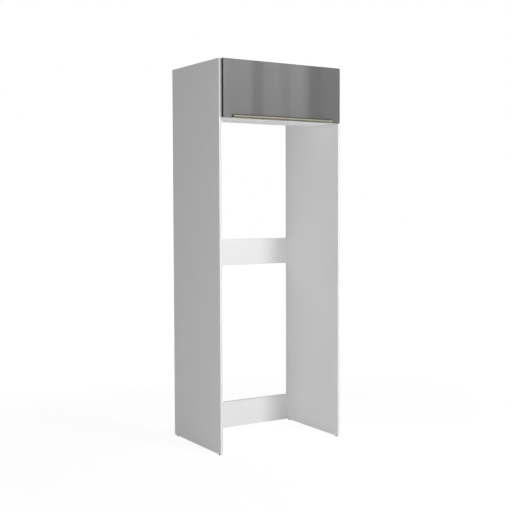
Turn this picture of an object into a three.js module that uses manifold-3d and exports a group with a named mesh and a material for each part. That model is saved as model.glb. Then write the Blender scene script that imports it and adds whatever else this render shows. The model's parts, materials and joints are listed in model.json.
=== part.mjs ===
/*
 * Fridge housing unit: two tall white panels that stand on glides beside a fridge, a shallow upper cabinet
 * between them with one lift-up flap, and two rails that brace the panels at the back.
 *
 * Millimetres. X runs across the width, Y from the front to the back, Z up. While the pieces are made,
 * y = 0 is the plane of the panels' front edges and z = 0 the floor. The finished group is centred on its
 * depth.
 */
import * as THREE from 'three';
import { mergeVertices } from 'three/addons/utils/BufferGeometryUtils.js';
import loadManifold from 'manifold-3d';

const wasm = await loadManifold();
wasm.setup();

// The unit
const UNIT_WIDTH = 800;
const PANEL_HEIGHT = 2173;
const PANEL_DEPTH = 585;
const BOARD = 15;
const SEAM = 0.3; // clearance wherever two pieces touch
const EDGE_EASE = 0.5; // broken edge of every board
const CUT_OVERRUN = 1; // how far a cutting tool runs past a face
const PANEL_SKIN = 3; // least wood left behind a blind hole in a board

// Glides under the panels
const FOOT_HEIGHT = 7;
const FOOT_RADIUS = 5.5;
const FOOT_CHAMFER = 1.2;
const FOOT_FRONT_INSET = 26;
const FOOT_REAR_INSET = 30;
const NAIL_RADIUS = 1.3;
const NAIL_LENGTH = 14;

// Rails at the back
const RAIL_HEIGHT = 160;
const CAM_RADIUS = 7.4;
const CAM_DEPTH = 11.7;
const CAM_FROM_END = 34;
const CAM_SLOT_WIDTH = 1.6;
const CAM_SLOT_DEPTH = 2;
const CAM_POCKET_RADIUS = 3.6;
const CAM_BOLT_RISE = 50; // above the rail's lower edge
const BOLT_THREAD_RADIUS = 2.9;
const BOLT_THREAD_LENGTH = 10;
const BOLT_SHANK_RADIUS = 3.3;
const BOLT_NECK_RADIUS = 1.7;
const BOLT_NECK_LENGTH = 4;
const BOLT_HEAD_RADIUS = 3;
const BOLT_HEAD_LENGTH = 3;
const DOWEL_RADIUS = 4;
const DOWEL_LENGTH = 30;
const DOWEL_CHAMFER = 0.8;
const DOWEL_RISE = 110; // above the rail's lower edge

// Upper cabinet
const BOX_HEIGHT = 320;
const BOX_DEPTH = 280;
const BACK_SHEET = 3;
const BACK_INSET = 12; // from the rear edges of the box to its back sheet
const GROOVE_DEPTH = 6;
const BOX_SCREW_FRONT_INSET = 37;
const BOX_SCREW_REAR_INSET = 48;
const BOX_SCREW = { length: 25, shank: 1.9, head: 4, cone: 2.4 };

// Flap
const DOOR_THICKNESS = 15;
const DOOR_GAP = 3.5; // from the front edges of the box to the back of the flap
const DOOR_REVEAL = 1; // the flap ends this far inside the tall panels and below their tops
const DOOR_EASE = 0.8;
const BUMPER_RADIUS = 4;
const BUMPER_CROWN_RADIUS = 2.6;
const BUMPER_RISE = 22; // above the underside of the box

// Pull along the lower edge of the flap
const HANDLE_END_GAP = 59; // from each end of the pull to the flap's side edge
const HANDLE_HEIGHT = 18;
const HANDLE_REACH = 12;
const HANDLE_WALL = 1.6;
const HANDLE_LIP_HEIGHT = 15.5;
const HANDLE_BOW = 1.6; // how far the lip bulges forward between its edges
const HANDLE_RIB = 3.2; // depth of the rib that takes the screws
const HANDLE_RIB_HEIGHT = 7;
const HANDLE_SCREW_INSET = 55; // from each end of the pull to its outer screws
const HANDLE_SCREW = { length: 17.5, shank: 1.9, head: 3.8, cone: 2.2 };

// Concealed hinges at the top edge of the flap
const HINGE_FROM_EDGE = 100; // from the flap's side edge to the middle of a hinge
const PIN_DEPTH = 8.4; // from the back of the flap to the axis of the pin
const PIN_DROP = 7.2; // from the top edge of the flap to the axis of the pin
const PIN_RADIUS = 1.2;
const PIN_SEAT = 3.2; // length of the pin held by each cheek of the cup
const PIN_PLAY = 0.15;
const CUP_RADIUS = 17.2;
const CUP_DEPTH = 12.2;
const CUP_WALL = 0.8;
const CUP_EDGE = 3; // wood between the cup's bore and the top edge of the flap
const CUP_CHEEK = 3; // wall of the cup's cheeks round the pin
const FLANGE = 1.2;
const FLANGE_LAP = 2;
const FLANGE_EAR_HALF = 22.5; // from the middle of the cup to a screw
const FLANGE_EAR_RADIUS = 6;
const FLANGE_SCREW = { length: 10, shank: 1.7, head: 3.4, crown: 1 };
const KNUCKLE_RADIUS = 2.2;
const KNUCKLE_WIDTH = 8;
const KNUCKLE_PLAY = 0.4; // each side of the knuckle
const ARM_STEEL = 2;
const ARM_BEND = 3;
const ARM_CHANNEL_START = 12;
const ARM_CHANNEL_END = 64;
const ARM_CHEEK = 1.6;
const PLATE_BASE = 1.6;
const PLATE_SPINE = 3;
const PLATE_SPINE_WIDTH = 10;
const PLATE_SPINE_INSET = 2; // from the ends of the arm's channel to the spine
const PLATE_SETBACK = 37; // from the front edges to the line of the plate's screws
const PLATE_WING_HALF = 16; // from the middle of the hinge to a plate screw
const PLATE_WING_RADIUS = 8;
const PLATE_SCREW = { length: 12, shank: 1.6, head: 3.2, cone: 1.4 };
const ARM_SCREW_SETBACK = 52;
const ARM_SCREW = { length: 5.6, shank: 1.5, head: 3.4, crown: 1.8 };

// Gas struts, one by each side of the box
const STRUT_FOOT_SETBACK = 46; // lower pivot, behind the front edges
const STRUT_FOOT_RISE = 70.8; // lower pivot, above the floor of the box
const STRUT_HEAD_DROP = 46; // upper pivot, below the hinge pin
const STRUT_HEAD_REACH = 16; // upper pivot, behind the back of the flap
const STRUT_PLAY = 1; // from the tube to the screws of its bracket
const TUBE_RADIUS = 7.5;
const TUBE_BORE = 6;
const TUBE_CHAMFER = 1;
const TUBE_FLOOR = 8;
const TUBE_GLAND = 4;
const ROD_RADIUS = 3;
const ROD_CLOSED_SHOW = 12; // bare rod between the tube and its socket when the flap is shut
const PISTON_LENGTH = 6;
const EYE_RADIUS = 6;
const EYE_WIDTH = 8;
const EYE_NECK_LENGTH = 7;
const EYE_NECK_RADIUS = 3.8;
const STUD_RADIUS = 3;
const STUD_COLLAR = 4.6;
const STUD_HEAD_LENGTH = 1.2;
const BRACKET_STEEL = 2;
const BRACKET_RADIUS = 9;
const BRACKET_SCREW_HALF = 16; // from the pivot to a screw of the side bracket
const BRACKET_SCREW = { length: 10, shank: 1.7, head: 3.4, crown: 1.4 };
const DOOR_PLATE_LENGTH = 28; // of the door bracket's foot, across the flap
const DOOR_PLATE_HALF = 12;
const DOOR_PLATE_SCREW_HALF = 6.5;
const DOOR_EAR_HALF = 7;

// How round things are drawn
const CUP_SIDES = 28;
const ROUND_SIDES = 20;
const SMALL_SIDES = 10;
const ARC_STEPS = 5;

// Cross recess of a screw, as shares of its head
const RECESS_SPAN_SHARE = 1.15;
const RECESS_WIDTH_SHARE = 0.28;
const RECESS_DEPTH_SHARE = 0.8;

const SIDES = [-1, 1]; // left and right, also the two ends of a symmetrical fitting

// Places that follow from the sizes: the shell
const outerHalf = UNIT_WIDTH / 2;
const innerHalf = outerHalf - BOARD;
const top = FOOT_HEIGHT + PANEL_HEIGHT;
const boxHalf = innerHalf - SEAM;
const boxClear = boxHalf - BOARD;
const boxUnderside = top - BOX_HEIGHT;
const boxFloor = boxUnderside + BOARD;
const boxCeiling = top - BOARD;
const boxScrewHeight = boxUnderside + BOX_HEIGHT / 2;
const boxScrewPlaces = [
  { end: 'front', y: BOX_SCREW_FRONT_INSET },
  { end: 'rear', y: BOX_DEPTH - BOX_SCREW_REAR_INSET },
];
const sheetRear = BOX_DEPTH - BACK_INSET;
const sheetFront = sheetRear - BACK_SHEET;
const footPlaces = [
  { end: 'front', y: FOOT_FRONT_INSET },
  { end: 'rear', y: PANEL_DEPTH - FOOT_REAR_INSET },
];

// The rails, by the height of their lower edges
const rails = [
  { name: 'bottom_rail', base: FOOT_HEIGHT },
  { name: 'middle_rail', base: FOOT_HEIGHT + (PANEL_HEIGHT - RAIL_HEIGHT) / 2 },
];
const railEnd = innerHalf - SEAM;
const railMiddle = PANEL_DEPTH - BOARD / 2;
const camOffset = railEnd - CAM_FROM_END;
const dowelInPanel = BOARD - PANEL_SKIN - 2 * SEAM;

// The flap and its pull
const doorBack = -DOOR_GAP;
const doorFront = doorBack - DOOR_THICKNESS;
const doorTop = top - DOOR_REVEAL;
const doorBottom = boxUnderside;
const doorHalf = innerHalf - DOOR_REVEAL;
const handleFront = doorFront - HANDLE_REACH;
const handleScrewHeight = doorBottom + HANDLE_HEIGHT - HANDLE_WALL - HANDLE_RIB_HEIGHT / 2;
const handleHalf = doorHalf - HANDLE_END_GAP;
const handleScrewPlaces = [
  { name: 'left', x: HANDLE_SCREW_INSET - handleHalf },
  { name: 'middle', x: 0 },
  { name: 'right', x: handleHalf - HANDLE_SCREW_INSET },
];

// The hinges, with the heights of their layers under the top of the box
const hingeOffset = doorHalf - HINGE_FROM_EDGE;
const pin = { y: doorBack - PIN_DEPTH, z: doorTop - PIN_DROP };
const cupHeight = doorTop - CUP_EDGE - CUP_RADIUS - SEAM;
const pinHalf = KNUCKLE_WIDTH / 2 + KNUCKLE_PLAY + PIN_SEAT;
const plateTop = boxCeiling - SEAM;
const plateLow = plateTop - PLATE_BASE;
const spineLow = plateLow - PLATE_SPINE;
const armTop = spineLow - SEAM;
const armLow = armTop - ARM_STEEL;

// The struts: their pivots, and their length and lean at rest
const bracketReach = SEAM + BRACKET_STEEL + BRACKET_SCREW.crown;
const strutOffset = boxClear - bracketReach - STRUT_PLAY - TUBE_RADIUS;
const strutFoot = { y: STRUT_FOOT_SETBACK, z: boxFloor + STRUT_FOOT_RISE };
const strutHead = { y: doorBack + STRUT_HEAD_REACH, z: pin.z - STRUT_HEAD_DROP };
const eyeInner = strutOffset - EYE_WIDTH / 2;
const eyeOuter = strutOffset + EYE_WIDTH / 2;
const strutRun = { y: strutHead.y - strutFoot.y, z: strutHead.z - strutFoot.z };
const strutLength = Math.hypot(strutRun.y, strutRun.z);
const strutLean = Math.atan2(-strutRun.y, strutRun.z);
const tubeStart = EYE_RADIUS + EYE_NECK_LENGTH / 2;
const tubeEnd = strutLength - EYE_NECK_LENGTH - EYE_RADIUS - ROD_CLOSED_SHOW;
const doorEarOuter = eyeInner - SEAM - BRACKET_STEEL;
const doorEarInner = doorEarOuter - BRACKET_STEEL;
const doorPlateInner = doorEarOuter - DOOR_PLATE_LENGTH;
const doorPlateMiddle = (doorPlateInner + doorEarInner) / 2;

const FINISHES = {
  melamine: { color: 0xf1f1ef, roughness: 0.5, metalness: 0 },
  backSheet: { color: 0xeeeeea, roughness: 0.7, metalness: 0 },
  gloss: { color: 0x848484, roughness: 0.12, metalness: 0 },
  champagne: { color: 0xcabb93, roughness: 0.32, metalness: 1 },
  glide: { color: 0x4a4239, roughness: 0.6, metalness: 0 },
  nickel: { color: 0xbfc1c4, roughness: 0.3, metalness: 1 },
  zinc: { color: 0xa9a9a6, roughness: 0.42, metalness: 1 },
  black: { color: 0x232325, roughness: 0.4, metalness: 0 },
  chrome: { color: 0xdadcdf, roughness: 0.12, metalness: 1 },
  beech: { color: 0xd6b688, roughness: 0.75, metalness: 0 },
  silicone: { color: 0xe9e9e7, roughness: 0.35, metalness: 0 },
};

function sideName(side) {
  return side < 0 ? 'left' : 'right';
}

function ordered(a, b) {
  return [Math.min(a, b), Math.max(a, b)];
}

// A closed geometry as a solid that can be cut and joined
function solid(geometry) {
  const bare = geometry.clone();
  bare.deleteAttribute('normal');
  bare.deleteAttribute('uv');
  const merged = mergeVertices(bare);
  const corners = merged.index.array;
  const triangles = [];
  for (let i = 0; i < corners.length; i += 3) {
    const [a, b, c] = [corners[i], corners[i + 1], corners[i + 2]];
    if (a !== b && b !== c && c !== a) triangles.push(a, b, c);
  }
  return new wasm.Manifold(new wasm.Mesh({
    numProp: 3,
    vertProperties: merged.attributes.position.array,
    triVerts: Uint32Array.from(triangles),
  }));
}

function join(first, ...others) {
  return others.reduce((whole, part) => whole.add(part), first);
}

function cut(body, ...tools) {
  return tools.reduce((rest, tool) => rest.subtract(tool), body);
}

// A named sub-part with a finish of its own
function piece(name, body, finish) {
  const { vertProperties, triVerts } = body.getMesh();
  const geometry = new THREE.BufferGeometry();
  geometry.setAttribute('position', new THREE.BufferAttribute(vertProperties, 3));
  geometry.setIndex(new THREE.BufferAttribute(triVerts, 1));
  geometry.computeVertexNormals();
  const mesh = new THREE.Mesh(geometry, new THREE.MeshStandardMaterial(finish));
  mesh.name = name;
  return mesh;
}

function block(low, high) {
  const size = high.map((value, axis) => value - low[axis]);
  const geometry = new THREE.BoxGeometry(...size);
  geometry.translate(...low.map((value, axis) => value + size[axis] / 2));
  return solid(geometry);
}

// A board with its twelve edges broken
function board(low, high, ease = EDGE_EASE) {
  const outline = new THREE.Shape();
  outline.moveTo(low[0], low[1]);
  outline.lineTo(high[0], low[1]);
  outline.lineTo(high[0], high[1]);
  outline.lineTo(low[0], high[1]);
  outline.closePath();
  const geometry = new THREE.ExtrudeGeometry(outline, {
    depth: high[2] - low[2] - 2 * ease,
    bevelThickness: ease,
    bevelSize: ease,
    bevelOffset: -ease,
    bevelSegments: 1,
  });
  geometry.translate(0, 0, low[2] + ease);
  return solid(geometry);
}

// Lowest and highest corner of a board on one side of the unit, side being -1 for left and 1 for right
function sided(side, near, far, lowY, highY, lowZ, highZ) {
  const [left, right] = ordered(side * near, side * far);
  return [[left, lowY, lowZ], [right, highY, highZ]];
}

// Carries a shape made along Y from the origin to its place, pointing along a direction
function aim(geometry, origin, direction) {
  const up = new THREE.Vector3(0, 1, 0);
  const turn = new THREE.Quaternion().setFromUnitVectors(up, new THREE.Vector3(...direction));
  geometry.applyQuaternion(turn);
  geometry.translate(...origin);
  return geometry;
}

function cylinder(origin, direction, length, radius, sides = ROUND_SIDES) {
  const geometry = new THREE.CylinderGeometry(radius, radius, length, sides);
  geometry.translate(0, length / 2, 0);
  return solid(aim(geometry, origin, direction));
}

// A turned piece: its profile is a list of radius and height, and starts and ends on the axis
function turned(profile, origin, direction, sides = ROUND_SIDES) {
  const points = profile.map(([radius, height]) => new THREE.Vector2(radius, height));
  return solid(aim(new THREE.LatheGeometry(points, sides), origin, direction));
}

// An outline drawn in the two axes that follow the given one in the cycle X, Y, Z, extruded along that axis
function prism(outline, axis, from, to) {
  const axes = {
    x: [[0, 1, 0], [0, 0, 1], [1, 0, 0]],
    y: [[0, 0, 1], [1, 0, 0], [0, 1, 0]],
    z: [[1, 0, 0], [0, 1, 0], [0, 0, 1]],
  }[axis].map((direction) => new THREE.Vector3(...direction));
  const geometry = new THREE.ExtrudeGeometry(outline, {
    depth: to - from,
    bevelEnabled: false,
    curveSegments: ARC_STEPS,
  });
  geometry.translate(0, 0, from);
  geometry.applyMatrix4(new THREE.Matrix4().makeBasis(...axes));
  return solid(geometry);
}

// A strip with round ends, its middle at (a, b) and its length along one of the outline's two axes
function strip(a, b, half, radius, along) {
  const angle = along === 'first' ? 0 : Math.PI / 2;
  const [runA, runB] = along === 'first' ? [half, 0] : [0, half];
  const outline = new THREE.Shape();
  outline.absarc(a + runA, b + runB, radius, angle - Math.PI / 2, angle + Math.PI / 2, false);
  outline.absarc(a - runA, b - runB, radius, angle + Math.PI / 2, angle + 1.5 * Math.PI, false);
  return outline;
}

// Cross recess in a screw's head, cut from its face along the screw
function recess(origin, direction, head, depth) {
  const span = head * RECESS_SPAN_SHARE;
  const width = head * RECESS_WIDTH_SHARE;
  const arms = [[span, width], [width, span]].map(([a, b]) => {
    const geometry = new THREE.BoxGeometry(a, depth + CUT_OVERRUN, b);
    geometry.translate(0, (depth - CUT_OVERRUN) / 2, 0);
    return solid(aim(geometry, origin, direction));
  });
  return join(...arms);
}

// Countersunk screw: its head lies flush at the origin and it points along the direction
function countersunk(size, origin, direction) {
  const profile = [
    [0, 0],
    [size.head, 0],
    [size.shank, size.cone],
    [size.shank, size.length - size.shank],
    [0, size.length],
  ];
  const body = turned(profile, origin, direction, SMALL_SIDES);
  return cut(body, recess(origin, direction, size.head, size.cone * RECESS_DEPTH_SHARE));
}

// The hole that such a screw leaves, with its clearance
function countersink(size, origin, direction) {
  const profile = [
    [0, -CUT_OVERRUN],
    [size.head + SEAM, -CUT_OVERRUN],
    [size.head + SEAM, 0],
    [size.shank + SEAM, size.cone],
    [size.shank + SEAM, size.length + SEAM],
    [0, size.length + SEAM],
  ];
  return turned(profile, origin, direction, SMALL_SIDES);
}

// Screw with a low domed head that stands on its seat: the origin is on the seat
function domed(size, origin, direction) {
  const profile = [
    [0, -size.crown],
    [size.head / 2, -size.crown],
    [size.head, -size.crown / 2],
    [size.head, 0],
    [size.shank, 0],
    [size.shank, size.length - size.shank],
    [0, size.length],
  ];
  const body = turned(profile, origin, direction, SMALL_SIDES);
  const face = origin.map((value, axis) => value - direction[axis] * size.crown);
  return cut(body, recess(face, direction, size.head, size.crown * RECESS_DEPTH_SHARE));
}

function footPiece(side, place) {
  const profile = [
    [0, 0],
    [FOOT_RADIUS - FOOT_CHAMFER, 0],
    [FOOT_RADIUS, FOOT_CHAMFER],
    [FOOT_RADIUS, FOOT_HEIGHT - SEAM],
    [NAIL_RADIUS, FOOT_HEIGHT - SEAM],
    [NAIL_RADIUS, FOOT_HEIGHT + NAIL_LENGTH - NAIL_RADIUS],
    [0, FOOT_HEIGHT + NAIL_LENGTH],
  ];
  const body = turned(profile, [side * (innerHalf + BOARD / 2), place.y, 0], [0, 0, 1], SMALL_SIDES);
  return piece(`foot_${place.end}_${sideName(side)}`, body, FINISHES.glide);
}

// Tall panel, bored for the glides' nails, the rails' bolts and dowels and the screws that hold the box
function sidePanel(side) {
  const panel = board(...sided(side, innerHalf, outerHalf, 0, PANEL_DEPTH, FOOT_HEIGHT, top));
  const middle = side * (innerHalf + BOARD / 2);
  const nails = footPlaces.map(({ y }) => cylinder(
    [middle, y, FOOT_HEIGHT - CUT_OVERRUN],
    [0, 0, 1],
    NAIL_LENGTH + CUT_OVERRUN + SEAM,
    NAIL_RADIUS + SEAM,
    SMALL_SIDES,
  ));
  const mouth = side * (innerHalf - CUT_OVERRUN);
  const outward = [side, 0, 0];
  const bolts = rails.map(({ base }) => cylinder(
    [mouth, railMiddle, base + CAM_BOLT_RISE],
    outward,
    BOLT_THREAD_LENGTH + SEAM + CUT_OVERRUN,
    BOLT_THREAD_RADIUS + SEAM,
    SMALL_SIDES,
  ));
  const dowels = rails.map(({ base }) => cylinder(
    [mouth, railMiddle, base + DOWEL_RISE],
    outward,
    dowelInPanel + SEAM + CUT_OVERRUN,
    DOWEL_RADIUS + SEAM,
    SMALL_SIDES,
  ));
  const screws = boxScrewPlaces.map(({ y }) => (
    countersink(BOX_SCREW, [side * boxClear, y, boxScrewHeight], outward)
  ));
  const body = cut(panel, ...nails, ...bolts, ...dowels, ...screws);
  return piece(`side_panel_${sideName(side)}`, body, FINISHES.melamine);
}

// Quarter-turn cam in the rail's rear face, with a pocket for the bolt's head
function railCam(side, rail) {
  const centre = [side * camOffset, PANEL_DEPTH, rail.base + CAM_BOLT_RISE];
  const drum = cylinder(centre, [0, -1, 0], CAM_DEPTH, CAM_RADIUS);
  const pocketEnd = camOffset - BOLT_HEAD_RADIUS - SEAM;
  const pocket = cylinder(
    [side * pocketEnd, railMiddle, centre[2]],
    [side, 0, 0],
    CAM_RADIUS + BOLT_HEAD_RADIUS + SEAM + CUT_OVERRUN,
    CAM_POCKET_RADIUS,
    SMALL_SIDES,
  );
  const slot = block(
    [centre[0] - CAM_RADIUS + CAM_SLOT_DEPTH, PANEL_DEPTH - CAM_SLOT_DEPTH, centre[2] - CAM_SLOT_WIDTH / 2],
    [centre[0] + CAM_RADIUS - CAM_SLOT_DEPTH, PANEL_DEPTH + CUT_OVERRUN, centre[2] + CAM_SLOT_WIDTH / 2],
  );
  return piece(`${rail.name}_cam_${sideName(side)}`, cut(drum, pocket, slot), FINISHES.zinc);
}

// Bolt that screws into the panel and is drawn in by the cam
function railBolt(side, rail) {
  const headEnd = innerHalf - camOffset + BOLT_HEAD_RADIUS;
  const neckEnd = headEnd - BOLT_HEAD_LENGTH;
  const shankEnd = neckEnd - BOLT_NECK_LENGTH;
  const profile = [
    [0, -BOLT_THREAD_LENGTH],
    [BOLT_THREAD_RADIUS - EDGE_EASE, -BOLT_THREAD_LENGTH],
    [BOLT_THREAD_RADIUS, EDGE_EASE - BOLT_THREAD_LENGTH],
    [BOLT_THREAD_RADIUS, 0],
    [BOLT_SHANK_RADIUS, SEAM],
    [BOLT_SHANK_RADIUS, shankEnd],
    [BOLT_NECK_RADIUS, shankEnd],
    [BOLT_NECK_RADIUS, neckEnd],
    [BOLT_HEAD_RADIUS, neckEnd],
    [BOLT_HEAD_RADIUS, headEnd - EDGE_EASE],
    [BOLT_HEAD_RADIUS - EDGE_EASE, headEnd],
    [0, headEnd],
  ];
  const origin = [side * innerHalf, railMiddle, rail.base + CAM_BOLT_RISE];
  return piece(
    `${rail.name}_bolt_${sideName(side)}`,
    turned(profile, origin, [-side, 0, 0], SMALL_SIDES),
    FINISHES.zinc,
  );
}

function railDowel(side, rail) {
  const profile = [
    [0, 0],
    [DOWEL_RADIUS - DOWEL_CHAMFER, 0],
    [DOWEL_RADIUS, DOWEL_CHAMFER],
    [DOWEL_RADIUS, DOWEL_LENGTH - DOWEL_CHAMFER],
    [DOWEL_RADIUS - DOWEL_CHAMFER, DOWEL_LENGTH],
    [0, DOWEL_LENGTH],
  ];
  const origin = [side * (innerHalf + dowelInPanel), railMiddle, rail.base + DOWEL_RISE];
  return piece(
    `${rail.name}_dowel_${sideName(side)}`,
    turned(profile, origin, [-side, 0, 0], SMALL_SIDES),
    FINISHES.beech,
  );
}

function railBoard(rail) {
  const low = [-railEnd, PANEL_DEPTH - BOARD, rail.base];
  const high = [railEnd, PANEL_DEPTH, rail.base + RAIL_HEIGHT];
  const tools = SIDES.flatMap((side) => {
    const inward = [-side, 0, 0];
    const mouth = side * (railEnd + CUT_OVERRUN);
    const camBore = cylinder(
      [side * camOffset, PANEL_DEPTH + CUT_OVERRUN, rail.base + CAM_BOLT_RISE],
      [0, -1, 0],
      CAM_DEPTH + SEAM + CUT_OVERRUN,
      CAM_RADIUS + SEAM,
    );
    const boltBore = cylinder(
      [mouth, railMiddle, rail.base + CAM_BOLT_RISE],
      inward,
      CAM_FROM_END + CUT_OVERRUN,
      BOLT_SHANK_RADIUS + SEAM,
      SMALL_SIDES,
    );
    const dowelBore = cylinder(
      [mouth, railMiddle, rail.base + DOWEL_RISE],
      inward,
      DOWEL_LENGTH - dowelInPanel + CUT_OVERRUN,
      DOWEL_RADIUS + SEAM,
      SMALL_SIDES,
    );
    return [camBore, boltBore, dowelBore];
  });
  return piece(rail.name, cut(board(low, high), ...tools), FINISHES.melamine);
}

function tower() {
  const group = new THREE.Group();
  for (const side of SIDES) {
    group.add(sidePanel(side));
    group.add(...footPlaces.map((place) => footPiece(side, place)));
  }
  for (const rail of rails) {
    group.add(railBoard(rail));
    for (const side of SIDES) {
      group.add(railCam(side, rail), railBolt(side, rail), railDowel(side, rail));
    }
  }
  return group;
}

function boxSide(side) {
  const panel = board(...sided(side, boxClear, boxHalf, 0, BOX_DEPTH, boxUnderside, top));
  const groove = block(...sided(
    side,
    boxClear - CUT_OVERRUN,
    boxClear + GROOVE_DEPTH,
    sheetFront - SEAM,
    sheetRear + SEAM,
    boxFloor - GROOVE_DEPTH,
    boxCeiling + GROOVE_DEPTH,
  ));
  const screws = boxScrewPlaces.map(({ y }) => (
    countersink(BOX_SCREW, [side * boxClear, y, boxScrewHeight], [side, 0, 0])
  ));
  const bracketScrews = SIDES.map((end) => cylinder(
    [side * (boxClear - CUT_OVERRUN), strutFoot.y, strutFoot.z + end * BRACKET_SCREW_HALF],
    [side, 0, 0],
    BRACKET_SCREW.length + CUT_OVERRUN,
    BRACKET_SCREW.shank + SEAM,
    SMALL_SIDES,
  ));
  const body = cut(panel, groove, ...screws, ...bracketScrews);
  return piece(`box_side_${sideName(side)}`, body, FINISHES.melamine);
}

// Top or bottom board of the box, grooved on its inner face
function boxShelf(name, low, grooveLow, tools = []) {
  const half = boxClear - SEAM;
  const groove = block(
    [-half - CUT_OVERRUN, sheetFront - SEAM, grooveLow],
    [half + CUT_OVERRUN, sheetRear + SEAM, grooveLow + GROOVE_DEPTH + CUT_OVERRUN],
  );
  const body = cut(board([-half, 0, low], [half, BOX_DEPTH, low + BOARD]), groove, ...tools);
  return piece(name, body, FINISHES.melamine);
}

function boxBack() {
  const half = boxClear + GROOVE_DEPTH - SEAM;
  const body = block(
    [-half, sheetFront, boxFloor - GROOVE_DEPTH + SEAM],
    [half, sheetRear, boxCeiling + GROOVE_DEPTH - SEAM],
  );
  return piece('box_back', body, FINISHES.backSheet);
}

function boxScrew(side, place) {
  const body = countersunk(BOX_SCREW, [side * boxClear, place.y, boxScrewHeight], [side, 0, 0]);
  return piece(`box_screw_${place.end}_${sideName(side)}`, body, FINISHES.zinc);
}

// Soft buffer on the front edge of the box, behind a lower corner of the flap
function doorBumper(side) {
  const thickness = DOOR_GAP - 2 * SEAM;
  const profile = [
    [0, 0],
    [BUMPER_RADIUS, 0],
    [BUMPER_RADIUS, thickness / 2],
    [BUMPER_CROWN_RADIUS, thickness],
    [0, thickness],
  ];
  const origin = [side * (boxClear + BOARD / 2), -SEAM, boxUnderside + BUMPER_RISE];
  return piece(`door_bumper_${sideName(side)}`, turned(profile, origin, [0, -1, 0]), FINISHES.silicone);
}

function upperCabinet() {
  const group = new THREE.Group();
  const plateHoles = SIDES.flatMap((side) => SIDES.map((wing) => (
    countersink(PLATE_SCREW, plateScrewPlace(side, wing), [0, 0, 1])
  )));
  group.add(boxShelf('box_top', boxCeiling, boxCeiling - CUT_OVERRUN, plateHoles));
  group.add(boxShelf('box_bottom', boxUnderside, boxFloor - GROOVE_DEPTH));
  group.add(boxBack());
  for (const side of SIDES) {
    group.add(boxSide(side), doorBumper(side));
    group.add(...boxScrewPlaces.map((place) => boxScrew(side, place)));
  }
  return group;
}

function plateScrewPlace(side, wing) {
  return [side * hingeOffset + wing * PLATE_WING_HALF, PLATE_SETBACK, plateLow];
}

function armScrewPlace(side) {
  return [side * hingeOffset, ARM_SCREW_SETBACK, armLow - SEAM];
}

// Plate under the top of the box: two wings for its screws and a spine that carries the arm
function hingePlate(side) {
  const x = side * hingeOffset;
  const spineFront = ARM_CHANNEL_START + PLATE_SPINE_INSET;
  const spineRear = ARM_CHANNEL_END - PLATE_SPINE_INSET;
  const outline = strip(x, PLATE_SETBACK, PLATE_WING_HALF, PLATE_WING_RADIUS, 'first');
  const wings = prism(outline, 'z', plateLow, plateTop);
  const spine = block(
    [x - PLATE_SPINE_WIDTH / 2, spineFront, spineLow],
    [x + PLATE_SPINE_WIDTH / 2, spineRear, plateTop],
  );
  const holes = SIDES.map((wing) => countersink(PLATE_SCREW, plateScrewPlace(side, wing), [0, 0, 1]));
  const tapped = cylinder(
    armScrewPlace(side),
    [0, 0, 1],
    ARM_SCREW.length + SEAM,
    ARM_SCREW.shank + SEAM,
    SMALL_SIDES,
  );
  return piece(`hinge_plate_${sideName(side)}`, cut(join(wings, spine), ...holes, tapped), FINISHES.nickel);
}

// Gooseneck arm: a knuckle round the pin, a neck that clears the flap's edge, a channel over the plate
function hingeArm(side) {
  const x = side * hingeOffset;
  const half = KNUCKLE_WIDTH / 2;
  const outerBend = ARM_BEND + ARM_STEEL;
  const front = pin.y - ARM_STEEL / 2;
  const bendY = front + outerBend;
  const bendZ = armLow + outerBend;
  const neck = new THREE.Shape();
  neck.moveTo(front, pin.z);
  neck.lineTo(front, bendZ);
  neck.absarc(bendY, bendZ, outerBend, Math.PI, 1.5 * Math.PI, false);
  neck.lineTo(ARM_CHANNEL_END, armLow);
  neck.lineTo(ARM_CHANNEL_END, armTop);
  neck.lineTo(bendY, armTop);
  neck.absarc(bendY, bendZ, ARM_BEND, 1.5 * Math.PI, Math.PI, true);
  neck.lineTo(front + ARM_STEEL, pin.z);
  const knuckle = cylinder([x - half, pin.y, pin.z], [1, 0, 0], KNUCKLE_WIDTH, KNUCKLE_RADIUS, SMALL_SIDES);
  const cheekInner = PLATE_SPINE_WIDTH / 2 + SEAM;
  const cheekOuter = cheekInner + ARM_CHEEK;
  const channel = block(
    [x - cheekOuter, ARM_CHANNEL_START, armLow],
    [x + cheekOuter, ARM_CHANNEL_END, plateLow - SEAM],
  );
  const hollow = block(
    [x - cheekInner, ARM_CHANNEL_START - CUT_OVERRUN, armTop],
    [x + cheekInner, ARM_CHANNEL_END + CUT_OVERRUN, plateTop],
  );
  const bore = cylinder(
    [x - half - CUT_OVERRUN, pin.y, pin.z],
    [1, 0, 0],
    KNUCKLE_WIDTH + 2 * CUT_OVERRUN,
    PIN_RADIUS + PIN_PLAY,
    SMALL_SIDES,
  );
  const screwHole = cylinder(
    [x, ARM_SCREW_SETBACK, armLow - CUT_OVERRUN],
    [0, 0, 1],
    ARM_STEEL + 2 * CUT_OVERRUN,
    ARM_SCREW.shank + SEAM,
    SMALL_SIDES,
  );
  const body = join(prism(neck, 'x', x - half, x + half), knuckle, cut(channel, hollow));
  return piece(`hinge_arm_${sideName(side)}`, cut(body, bore, screwHole), FINISHES.nickel);
}

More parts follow.
